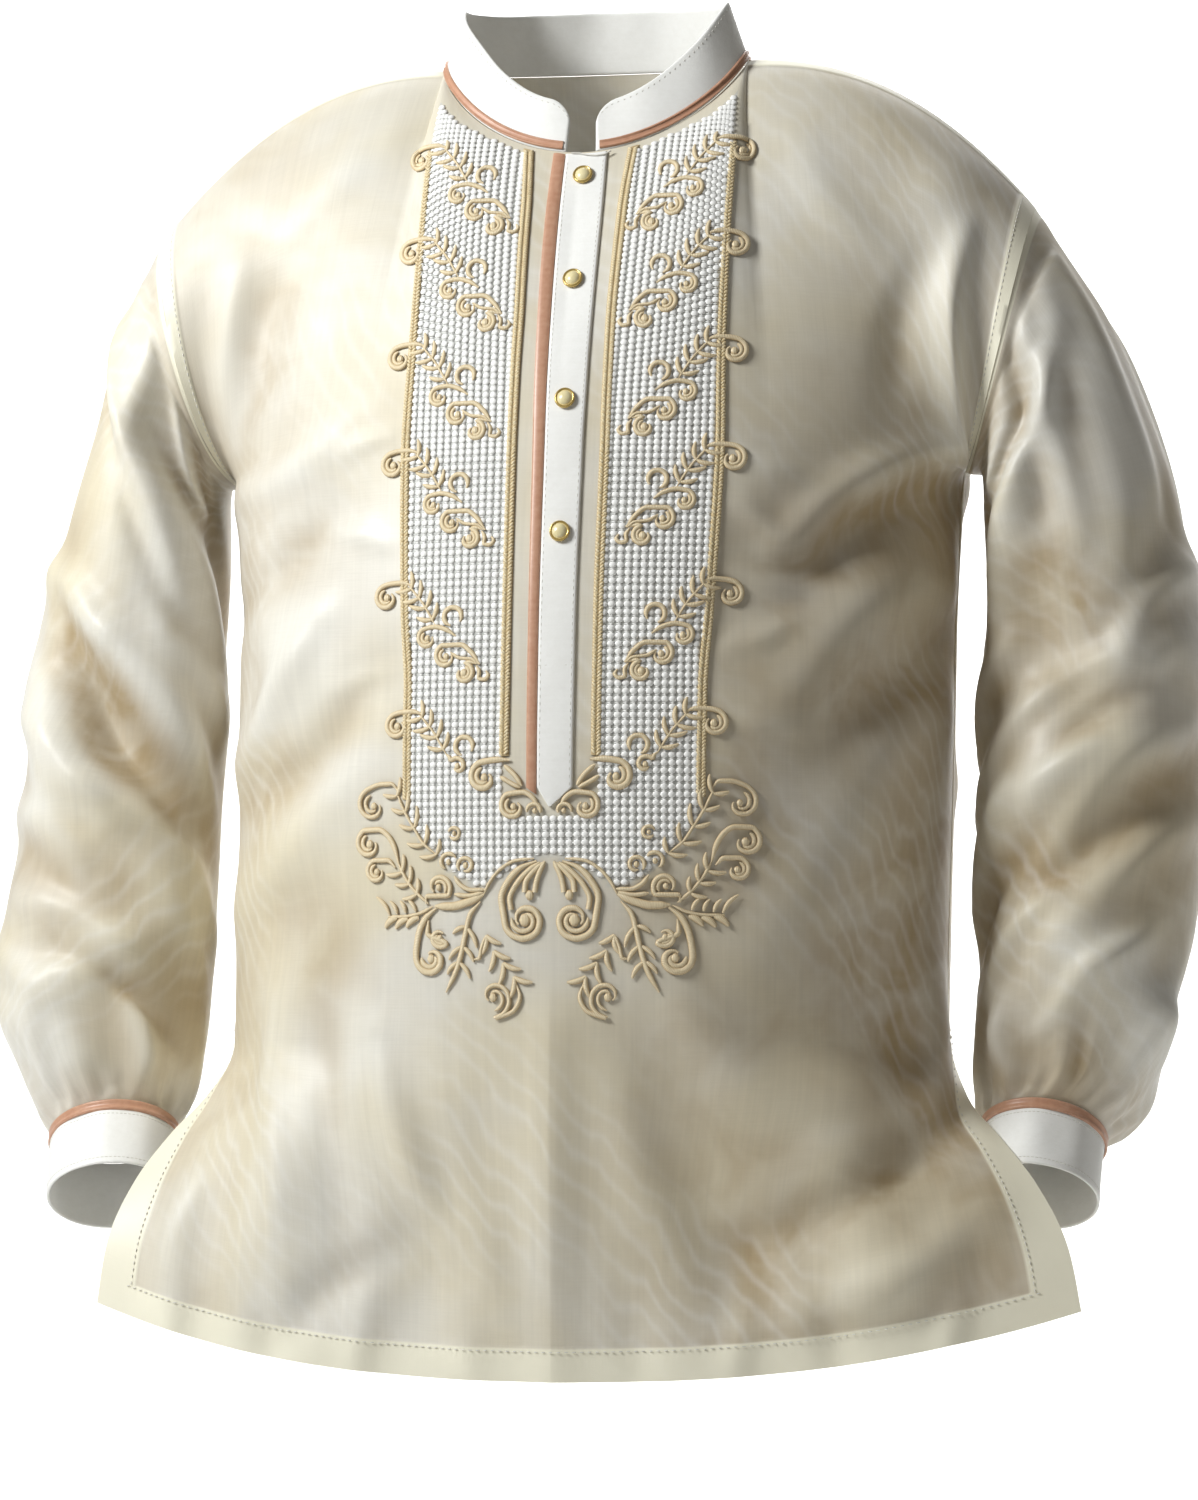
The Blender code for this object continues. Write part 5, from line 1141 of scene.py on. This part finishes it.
def make_wreath(hand, side, finish):
    """One half of the scrolls below the openwork, and its commas beside the placket's tip."""
    made = {}
    sewing = made["volute"] = Needle(hand)
    sewing.curl(14.5, -523, 10, -395, 12.6, 4.4, 1.55, 2.6,
                [(7.5, -489), (16.5, -492.5), (24, -500), (28.4, -510)])
    sewing.line([(5.5, -489.5), (13.5, -495.5), (20, -503), (23.4, -511), (22.5, -517)], 1.3, ends=(0.4, 1))
    sewing.line([(4, -490), (10, -495.5), (14, -501.5), (14.6, -507)], 1.35, ends=(0.4, 1.1))
    sewing.line([(2.6, -489), (5.6, -495), (7.6, -501), (8.6, -507)], 1.3, ends=(0.4, 1.1))
    sewing.line([(9, -487.4), (20, -488.6), (29.5, -494), (36, -502), (39, -508)], 0.8)
    sewing.ball(11.6, -508.6, 2.4)
    sewing = made["scroll"] = Needle(hand)
    sewing.line([(39, -508), (49, -512.4), (59, -514.6), (69, -514.4)], 1.6, swell=0.25)
    sewing.line([(39.5, -507), (49, -508.6), (57, -507.6)], 1.1)
    sewing.line([(38, -505.2), (46, -505.4), (53, -502.4), (57, -497)], 1.1)
    sewing.curl(66.5, -503.5, 220, -40, 7.6, 4, 1.2, 1.4, [(74.5, -513), (74.2, -508.6)])
    sewing.curl(50, -491, -40, 290, 4.8, 3.4, 1, 1.3)
    sewing = made["branch"] = Needle(hand)
    sewing.curl(107.5, -455.5, 72, -190, 10.6, 3.4, 1.15, 1.5, [(92, -447), (96.5, -442.8), (102, -442.8)])
    sewing.line([(93, -448), (88, -459), (82, -469), (76, -478), (68, -484.5)], 0.7, 0.9)
    sewing.pairs([
        (93, -450, (-2, 11), (8.6, 1.2)), (87.5, -459.5, (-1.4, 12), (9, 2.4)),
        (82, -469, (-1.6, 13), (9.4, 2.2)), (75.5, -478.5, (-1.4, 11.5), (11, 0.8)),
        (68, -484.5, (-2, 9), (10.5, -1))])
    sewing.curl(60.5, -489, 150, -60, 5.2, 4.2, 1, 1.2)
    sewing.curl(57, -472.5, 20, 330, 3.6, 3, 0.9, 1)
    sewing = made["leaf"] = Needle(hand)
    sewing.curl(110.5, -477.8, 68, -200, 9, 3.6, 1.3, 1.8,
                [(92, -489), (94.5, -480), (99, -472.6), (105, -469.2)])
    sewing.curl(106, -494, 78, -200, 7, 3.2, 1.2, 1.5, [(94, -491.5), (99, -487.2)])
    sewing.line([(92, -489), (88, -497), (82, -505), (73, -513)], 0.8, 0.9)
    sewing.pairs([
        (90, -494.5, (-1, 10.5), (10, -1)), (85.5, -501.5, (-1, 11), (8.8, 0.2)),
        (80.5, -507.5, (-0.6, 9.5), (9, -2.4))])
    sewing = made["fall"] = Needle(hand)
    sewing.curl(71.5, -545, 8, -300, 9.8, 3.4, 1.6, 1.9, [(68, -515.5), (75, -521.5), (79.4, -531)])
    sewing.curl(66, -533, -140, 130, 5.6, 3.4, 1.2, 1.4, [(73, -522.5), (73.6, -530)])
    sewing.line([(70, -514.5), (79, -518.6), (90, -520.2), (99, -520)], 0.8, 0.9)
    for x, z in ((93, -521), (86, -521.6), (79, -521)):
        sewing.leaf(x, z, x + 8, z - 5.6, 1.7, 0.14)
    for x, z, to_x, to_z in ((98, -519, 106.5, -508.5), (93, -518.6, 97.5, -511), (87.5, -518, 91, -511),
                             (81, -517.4, 86, -510.4)):
        sewing.leaf(x, z, to_x, to_z, 1.05, 0.1)
    sewing = made["stem"] = Needle(hand)
    sewing.line([(41, -512), (47.5, -520), (50, -530), (52.5, -541), (56, -552), (62.5, -564.5)],
                1.1, swell=0.2)
    sewing.pairs([
        (50, -526.5, (8, -4), (-6.6, -12.4)), (52, -538, (8.4, -7.6), (-6.8, -9)),
        (54.5, -547, (7, -7), (-7, -9.6))])
    sewing = made["drop"] = Needle(hand)
    sewing.line([(45, -545.5), (42, -545), (40.4, -539), (37.5, -531.5)], 0.9)
    sewing.pairs([
        (37.5, -531.5, (-9, -5), (2.6, -11)), (33, -540.5, (-10, -4.6), (3, -12)),
        (27.5, -547.5, (-10.6, -3.8), (2.8, -13)), (21, -555.5, (-11, -3.4), (2.4, -12.4))], 1.35)
    sewing.curl(33.5, -567.5, -95, -395, 12, 3.2, 1.1, 1.8, [(20, -559), (17.4, -567), (21.5, -575.5)])
    pieces = [s.sew(f"stitched_{part}_{side}", finish) for part, s in made.items()]
    sewing = Needle(hand, 0.0012)
    sewing.curl(38.5, -440.5, 75, -215, 9.2, 3.4, 1.5, 1.7, [(23.5, -430.5), (30, -430.2)])
    sewing.line([(26.5, -433.5), (20.5, -439), (16, -445.5)], 1.2)
    sewing.line([(29, -440), (23, -443.6), (17, -446.6)], 1.1)
    sewing.curl(21, -457.5, 60, -225, 8.2, 3.2, 1.25, 1.5, [(6, -459.5), (9, -453), (15.5, -449.2)])
    sewing.curl(8.5, -460, -10, 200, 4.6, 3.4, 1, 1.1)
    pieces.append(sewing.sew(f"stitched_comma_{side}", finish))
    for made_piece, solid in zip(pieces, [*(f"wreath_{p}_{side}" for p in made), f"tip_comma_{side}"]):
        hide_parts(solid)
    return pieces


def running(name, side, rows, height, size, thread):
    """Running stitches over a panel. A row is its shares, its levels and 1 if it runs up the cloth."""
    spots, outs, runs = [], [], []
    for u, level, way in rows:
        spot, out, across, up = on_cloth(side, u, level, np.full(u.shape, height))
        spots.append(spot)
        outs.append(out)
        runs.append(up if way else across)
    return beads(name, spots, outs, runs, size, thread)


def make_stitches(thread):
    """Running stitches inside the hem, along the slit facings and beside the armholes."""
    made = []
    for side, name in ((-1, "front"), (1, "back")):
        shares = np.arange(-0.93, 0.931, STITCH_PITCH / 0.30)
        upper = np.arange(HEM + HEM_DEPTH, SLIT_TOP + 0.008, STITCH_PITCH)
        facing = 1 - FACING_DEPTH / 0.25 + 0.012
        arm = np.linspace(CHEST + 0.012, -0.012, 52)
        rows = [(shares, np.full(shares.shape, HEM + HEM_DEPTH - 0.0024), 0)]
        for hand in (-1, 1):
            rows.append((np.full(upper.shape, hand * facing), upper, 1))
            rows.append((np.full(arm.shape, hand * 0.9735), arm, 1))
        made.append(running(f"{name}_stitches", side, rows, 0.00055, (0.0026, 0.0007, 0.0006), thread))
    return made


# ---------------------------------------------------------------- finishes

def effect(name, inputs, outputs):
    """An empty shader group with named inputs and outputs."""
    tree = bpy.data.node_groups.new(name, "ShaderNodeTree")
    for label, kind, value in inputs:
        made = tree.interface.new_socket(name=label, in_out="INPUT", socket_type=kind)
        if value is not None:
            made.default_value = value
    for label in outputs:
        tree.interface.new_socket(name=label, in_out="OUTPUT", socket_type="NodeSocketFloat")
    return tree, tree.nodes.new("NodeGroupInput"), tree.nodes.new("NodeGroupOutput")


FLOAT, VECTOR = "NodeSocketFloat", "NodeSocketVector"


def weave_effect():
    """Fine upright threads with soft slubs: a height, and a tone that follows it."""
    inputs = [("Map", VECTOR, None), ("Threads", FLOAT, 900.0)]
    tree, start, end = effect("Weave", inputs, ["Height", "Tone"])
    upright, level = (
        node(tree, "ShaderNodeMapping", {"Vector": start.outputs["Map"], "Scale": scale}).outputs[0]
        for scale in ((1.0, 0.035, 1.0), (0.05, 1.0, 1.0)))
    slub, weft = (node(tree, "ShaderNodeTexNoise", {
        "Vector": way, "Scale": start.outputs["Threads"], "Detail": 1.0, "Roughness": 0.5})
        for way in (upright, level))
    half = mean(tree, slub.outputs["Fac"], weft.outputs["Fac"])
    broad = node(tree, "ShaderNodeTexNoise", {"Vector": upright, "Scale": 260.0, "Detail": 2.0})
    tree.links.new(half, end.inputs["Height"])
    tree.links.new(mean(tree, half, broad.outputs["Fac"]), end.inputs["Tone"])
    return tree


def patch_effect():
    """Large soft clouds of tone in thin cloth."""
    tree, start, end = effect("Soft patches", [("Place", VECTOR, None), ("Size", FLOAT, 7.0)], ["Value"])
    cloud = node(tree, "ShaderNodeTexNoise", {
        "Vector": start.outputs["Place"], "Scale": start.outputs["Size"], "Detail": 3.0, "Roughness": 0.55,
        "Distortion": 0.6})
    soft = ranged(tree, cloud.outputs["Fac"], 0.34, 0.68, 0.0, 1.0, "SMOOTHSTEP")
    tree.links.new(soft, end.inputs["Value"])
    return tree


def moire_effect():
    """Fine wavering light lines where two layers of threads cross."""
    tree, start, end = effect("Moire", [("Map", VECTOR, None)], ["Value"])
    turn = node(tree, "ShaderNodeMapping", {"Vector": start.outputs["Map"], "Rotation": (0.0, 0.0, 0.5),
                                            "Scale": (1.0, 0.55, 1.0)})
    lines = node(tree, "ShaderNodeTexWave", {
        "Vector": turn.outputs[0], "Scale": 34.0, "Distortion": 7.0, "Detail": 2.0, "Detail Scale": 0.9,
        "Detail Roughness": 0.45}, wave_type="BANDS", bands_direction="Y")
    sharp = figure(tree, "POWER", lines.outputs["Fac"], 3.0)
    where = node(tree, "ShaderNodeTexNoise", {"Vector": start.outputs["Map"], "Scale": 5.0, "Detail": 1.0})
    shown = ranged(tree, where.outputs["Fac"], 0.42, 0.62, 0.0, 1.0, "SMOOTHSTEP")
    tree.links.new(product(tree, sharp, shown), end.inputs["Value"])
    return tree


def satin_effect():
    """Close threads laid side by side: a height, and a tone that follows it, which is painted light on the
    rows' crests and painted shade between them, mixed with random variation.
    """
    tree, start, end = effect("Satin threads", [("Map", VECTOR, None), ("Pitch", FLOAT, 0.0009)],
                              ["Height", "Tone"])
    rate = figure(tree, "DIVIDE", 0.314, start.outputs["Pitch"])
    rows = node(tree, "ShaderNodeTexWave", {
        "Vector": start.outputs["Map"], "Scale": rate, "Distortion": 0.6, "Detail": 1.0,
        "Detail Scale": 1.2}, wave_type="BANDS", bands_direction="Y")
    vary = node(tree, "ShaderNodeTexNoise", {"Vector": start.outputs["Map"], "Scale": 420.0, "Detail": 2.0})
    tree.links.new(rows.outputs["Fac"], end.inputs["Height"])
    tree.links.new(mean(tree, rows.outputs["Fac"], vary.outputs["Fac"]), end.inputs["Tone"])
    return tree


def plain_finish(name, roughness, sheen, specular):
    """A material with its shader, its tree and its coordinate sources."""
    made = bpy.data.materials.new(name)
    made.use_nodes = True
    tree = made.node_tree
    shader = tree.nodes["Principled BSDF"]
    shader.inputs["Roughness"].default_value = roughness
    shader.inputs["Sheen Weight"].default_value = sheen
    shader.inputs["Sheen Roughness"].default_value = 0.4
    shader.inputs["Specular IOR Level"].default_value = specular
    place = tree.nodes.new("ShaderNodeTexCoord").outputs["Object"]
    flat = node(tree, "ShaderNodeUVMap", uv_map="cloth").outputs["UV"]
    return made, tree, shader, place, flat


def ranged(tree, value, low, high, to_low=0.0, to_high=1.0, smooth="LINEAR"):
    """A value carried from one range to another."""
    return node(tree, "ShaderNodeMapRange", {
        "Value": value, "From Min": low, "From Max": high, "To Min": to_low, "To Max": to_high},
        interpolation_type=smooth).outputs[0]


def figure(tree, kind, first, second):
    """Two values worked together, by Blender's name for the operation."""
    return node(tree, "ShaderNodeMath", {0: first, 1: second}, operation=kind).outputs[0]


def mixed(tree, share, first, second, blend="MIX"):
    """Two colours mixed by a share."""
    return node(tree, "ShaderNodeMix", {0: share, 6: first, 7: second}, data_type="RGBA",
                blend_type=blend).outputs[2]


def product(tree, first, second):
    """Two values multiplied."""
    return figure(tree, "MULTIPLY", first, second)


def mean(tree, first, second):
    """The mean of two values."""
    return product(tree, figure(tree, "ADD", first, second), 0.5)


def use(tree, group, feeds):
    """An effect placed in a material with its own values."""
    made = tree.nodes.new("ShaderNodeGroup")
    made.node_tree = group
    for key, value in feeds.items():
        if isinstance(value, bpy.types.NodeSocket):
            tree.links.new(value, made.inputs[key])
        else:
            made.inputs[key].default_value = value
    return made


def bumped(tree, shader, height, distance, strength):
    """A fine relief in the shading."""
    bump = node(tree, "ShaderNodeBump", {"Height": height, "Strength": strength, "Distance": distance})
    tree.links.new(bump.outputs["Normal"], shader.inputs["Normal"])


def mask(tree, label):
    """A mask stored on the mesh's points."""
    return node(tree, "ShaderNodeAttribute", attribute_name=label).outputs["Fac"]


def sheer_finish(weave, patches, moire):
    """Thin crisp cloth: cream, softly clouded, faintly lustrous and a little see-through, with painted warm
    shade mixed in towards tan and a painted grey shadow under the openwork.
    """
    made, tree, shader, place, flat = plain_finish("sheer_cloth_look", 0.5, 0.15, 0.45)
    threads = use(tree, weave, {"Map": flat})
    cloud = use(tree, patches, {"Place": place, "Size": 6.5})
    small = use(tree, patches, {"Place": place, "Size": 19.0})
    lines = use(tree, moire, {"Map": flat})
    double, opened, painted_shade = (mask(tree, label) for label in ("double", "open", "painted_shade"))
    base = mixed(tree, cloud.outputs["Value"], tint(CREAM), tint(WARM_CREAM))
    uneven = ranged(tree, small.outputs["Value"], 0.0, 1.0, 0.45, 1.0)
    # Painted warm shade, from the painted shade mask broken up by small soft patches
    base = mixed(tree, product(tree, uneven, painted_shade), base, tint(PAINTED_SHADE_TAN))
    base = mixed(tree, product(tree, lines.outputs["Value"], 0.24), base, tint(BRIGHT))
    fine = ranged(tree, threads.outputs["Tone"], 0.3, 0.7, 0.93, 1.03)
    grey = node(tree, "ShaderNodeCombineColor", {0: fine, 1: fine, 2: fine}, mode="RGB").outputs[0]
    base = mixed(tree, 1.0, base, grey, "MULTIPLY")
    base = mixed(tree, product(tree, double, 0.9), base, tint(HEM_TINT))
    # Under the openwork the cloth is painted grey as the net's shadow
    base = mixed(tree, opened, base, tint(OPENWORK_SHADOW_GREY))
    tree.links.new(base, shader.inputs["Base Color"])
    gloss = ranged(tree, cloud.outputs["Value"], 0.0, 1.0, 0.43, 0.56)
    tree.links.new(gloss, shader.inputs["Roughness"])
    thin = ranged(tree, double, 0.0, 1.0, 0.90, 1.0)
    alpha = figure(tree, "SUBTRACT", thin, product(tree, opened, 0.16))
    tree.links.new(alpha, shader.inputs["Alpha"])
    bumped(tree, shader, threads.outputs["Height"], 0.00022, 0.5)
    return made


def white_finish(name, colour, weave, threads=700.0, roughness=0.55):
    """Firm white cloth or thread with a fine weave."""
    made, tree, shader, place, _ = plain_finish(name, roughness, 0.1, 0.35)
    fine = use(tree, weave, {"Map": place, "Threads": threads})
    tone = ranged(tree, fine.outputs["Tone"], 0.3, 0.7, 0.0, 0.16)
    base = mixed(tree, tone, tint(colour), tint("#CFCCC2"))
    tree.links.new(base, shader.inputs["Base Color"])
    bumped(tree, shader, fine.outputs["Height"], 0.0002, 0.4)
    return made


def copper_finish(weave):
    """Satin piping in a soft copper."""
    made, tree, shader, place, _ = plain_finish("copper_satin_look", 0.38, 0.2, 0.5)
    fine = use(tree, weave, {"Map": place, "Threads": 420.0})
    tone = ranged(tree, fine.outputs["Tone"], 0.3, 0.7, 0.0, 0.55)
    tree.links.new(mixed(tree, tone, tint(COPPER), tint(PEACH)), shader.inputs["Base Color"])
    bumped(tree, shader, fine.outputs["Height"], 0.0002, 0.4)
    return made


def thread_finish(name, light, deep, satin, pitch=0.0009, roughness=0.45, from_map=True, crested=False):
    """Lustrous thread with painted light on its crests and painted shade deeper between its rows; crested
    pads are also painted darker at their edges and lighter on top.
    """
    made, tree, shader, place, flat = plain_finish(name, roughness, 0.15, 0.55)
    rows = use(tree, satin, {"Map": flat if from_map else place, "Pitch": pitch})
    share = ranged(tree, rows.outputs["Tone"], 0.25, 0.75)
    # Painted shade at the pad's edges and painted light on its crest, from the tone mask
    if crested:
        crest = ranged(tree, mask(tree, "tone"), 0.0, 1.0)
        share = product(tree, ranged(tree, share, 0.0, 1.0, 0.7, 1.0), crest)
    tree.links.new(mixed(tree, share, tint(deep), tint(light)), shader.inputs["Base Color"])
    bumped(tree, shader, rows.outputs["Height"], 0.00025, 0.6)
    return made


def button_finish(patches):
    """A cream dome and a thick golden rim, both glossy."""
    made, tree, shader, place, _ = plain_finish("gilt_button_look", 0.24, 0.0, 0.6)
    cloud = use(tree, patches, {"Place": place, "Size": 260.0})
    dome = mixed(tree, product(tree, cloud.outputs["Value"], 0.4), tint(BUTTON_CREAM), tint("#DCCB94"))
    tree.links.new(mixed(tree, mask(tree, "rim"), dome, tint(BUTTON_RIM)), shader.inputs["Base Color"])
    tree.links.new(product(tree, mask(tree, "rim"), 0.55), shader.inputs["Metallic"])
    return made


def make_finishes():
    """Every material by the name the makers below use for it."""
    weave, patches, moire, satin = weave_effect(), patch_effect(), moire_effect(), satin_effect()
    return {
        "sheer": sheer_finish(weave, patches, moire),
        "white": white_finish("white_cloth_look", WHITE, weave),
        "thread": white_finish("white_thread_look", "#DEDCD4", weave, 1500.0, 0.5),
        "net": white_finish("openwork_look", OPENWORK, weave, 1200.0, 0.6),
        "copper": copper_finish(weave),
        "braid": thread_finish("braid_look", "#EBDCB8", BRAID_GOLD, satin, 0.0008, 0.5, False),
        "braid_deep": thread_finish("braid_ground_look", "#CDB78A", "#B79F74", satin, 0.0008, 0.6),
        "gold": thread_finish("gold_thread_look", THREAD_GOLD, THREAD_DEEP, satin, 0.0009, 0.42,
                              crested=True),
        "button": button_finish(patches),
    }


# ---------------------------------------------------------------- studio

def soft_light(name, place, aim, size, power, colour=(1.0, 1.0, 1.0)):
    """A square area light that aims at a point."""
    lamp = bpy.data.lights.new(name, "AREA")
    lamp.shape, lamp.size, lamp.energy, lamp.color = "SQUARE", size, power, colour
    holder = placed(name, lamp)
    holder.location = place
    holder.rotation_euler = (Vector(aim) - Vector(place)).to_track_quat("-Z", "Y").to_euler()
    return holder


def make_studio():
    """A pale floor that sweeps up behind, soft light from the upper left, a weak fill and the camera."""
    scene = bpy.context.scene
    lens = bpy.data.cameras.new("camera")
    lens.lens, lens.sensor_width, lens.shift_x, lens.shift_y = 118.0, 36.0, -0.0007, 0.2024
    camera = placed("camera", lens)
    camera.location = (0.5209, -2.9544, -0.60)
    camera.rotation_euler = (math.radians(90), 0, math.radians(10))
    scene.camera = camera
    scene.view_settings.view_transform = "Standard"
    world = bpy.data.worlds.new("studio")
    world.use_nodes = True
    world.node_tree.nodes["Background"].inputs["Color"].default_value = (1.0, 0.97, 0.92, 1.0)
    world.node_tree.nodes["Background"].inputs["Strength"].default_value = 0.12
    scene.world = world
    path = [(-0.9, -1.0), (2.6, -1.0)]
    path += [(2.6 + 3.0 * math.sin(a), 2.0 - 3.0 * math.cos(a)) for a in np.radians(np.linspace(5, 90, 18))]
    path += [(5.6, 6.0)]
    points = [(x, y, z) for y, z in path for x in (-6.0, 6.0)]
    faces = [(2 * i, 2 * i + 1, 2 * i + 3, 2 * i + 2) for i in range(len(path) - 1)]
    mesh = bpy.data.meshes.new("sweep")
    mesh.from_pydata(points, [], faces)
    mesh.shade_smooth()
    paper = bpy.data.materials.new("paper")
    paper.use_nodes = True
    shader = paper.node_tree.nodes["Principled BSDF"]
    shader.inputs["Base Color"].default_value = (0.92, 0.92, 0.91, 1)
    shader.inputs["Roughness"].default_value = 0.9
    mesh.materials.append(paper)
    sweep = placed("sweep", mesh)
    lights = [
        soft_light("key", (-1.15, -1.00, 0.60), (-0.08, 0, -0.30), 0.50, 34, (0.985, 1.0, 0.998)),
        soft_light("fill", (2.2, -2.4, 0.0), (0, 0, -0.4), 1.6, 3.0, (1.0, 0.93, 0.82)),
        soft_light("paper_light", (0, 3.0, 3.2), (0, 5.0, 0.0), 3.0, 340),
    ]


# ---------------------------------------------------------------- the whole shirt

def settle(objects, slot, *solids):
    """Let each piece ride on the shirt and stand for CAD nodes, which are hidden. The slot is not used."""
    for made in objects:
        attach(made, "root")
        if solids:
            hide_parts(*solids)


def build():
    """Make every piece and settle it on the shirt."""
    look = make_finishes()
    front = make_panel("front_cloth", -1, 151, look["sheer"])
    back = make_panel("back_cloth", 1, 121, look["sheer"])
    settle([front], "sheer_cloth", "front")
    settle([back], "sheer_cloth", "back")
    hem = make_stitches(look["thread"])
    settle(hem, "white_cloth")
    for name, table, creases, hand in (("left", SLEEVE_LEFT, LEFT_CREASES, 1),
                                       ("right", SLEEVE_RIGHT, RIGHT_CREASES, -1)):
        made = make_sleeve(name, table, creases, hand, look["sheer"], look["white"], look["copper"],
                           look["thread"])
        settle(made[:1], "sheer_cloth", f"sleeve_{name}")
        settle(made[1:2], "white_cloth", f"cuff_{name}")
        settle(made[2:3], "copper_piping", f"cuff_trim_{name}")
        settle(made[3:], "white_cloth")
    collar = make_collar(look["white"], look["copper"], look["thread"])
    settle(collar[:1], "white_cloth", "collar")
    settle(collar[1:2], "copper_piping", "collar_trim")
    settle(collar[2:], "white_cloth")
    placket = make_placket(look["white"], look["copper"], look["thread"])
    settle(placket[:1], "white_cloth", "placket")
    settle(placket[1:2], "copper_piping", "placket_trim")
    settle(placket[2:3], "white_cloth", "placket_under")
    settle(placket[3:], "white_cloth")
    for k, z in enumerate(BUTTON_Z):
        settle([make_button(k + 1, z, look["button"])], "gilt_button", f"button_{k + 1}")
    net = make_openwork(look["net"])
    settle(net, "white_openwork", "calado_panel")
    braids, sprays = [], []
    for side, hand in (("right", -1), ("left", 1)):
        for line, top, foot in (("inner", -0.004, -0.428), ("outer", -0.066, -0.452)):
            made = make_braid(f"{line}_{side}", line, top, foot, hand, look["braid"], look["braid_deep"])
            settle(made, "gold_braid", f"braid_{line}_{side}")
            braids += made
        for k, row in enumerate(zip(*(SPRAYS[c] for c in ("x", "z", "full", "leaf")))):
            made = make_spray(f"stitched_spray_{side}_{k + 1}", *row, hand, look["gold"])
            settle([made], "gold_thread", f"spray_{side}_{k + 1}")
            sprays.append(made)
        wreath = make_wreath(hand, side, look["gold"])
        settle(wreath, "gold_thread")
        sprays += wreath


build()
make_studio()
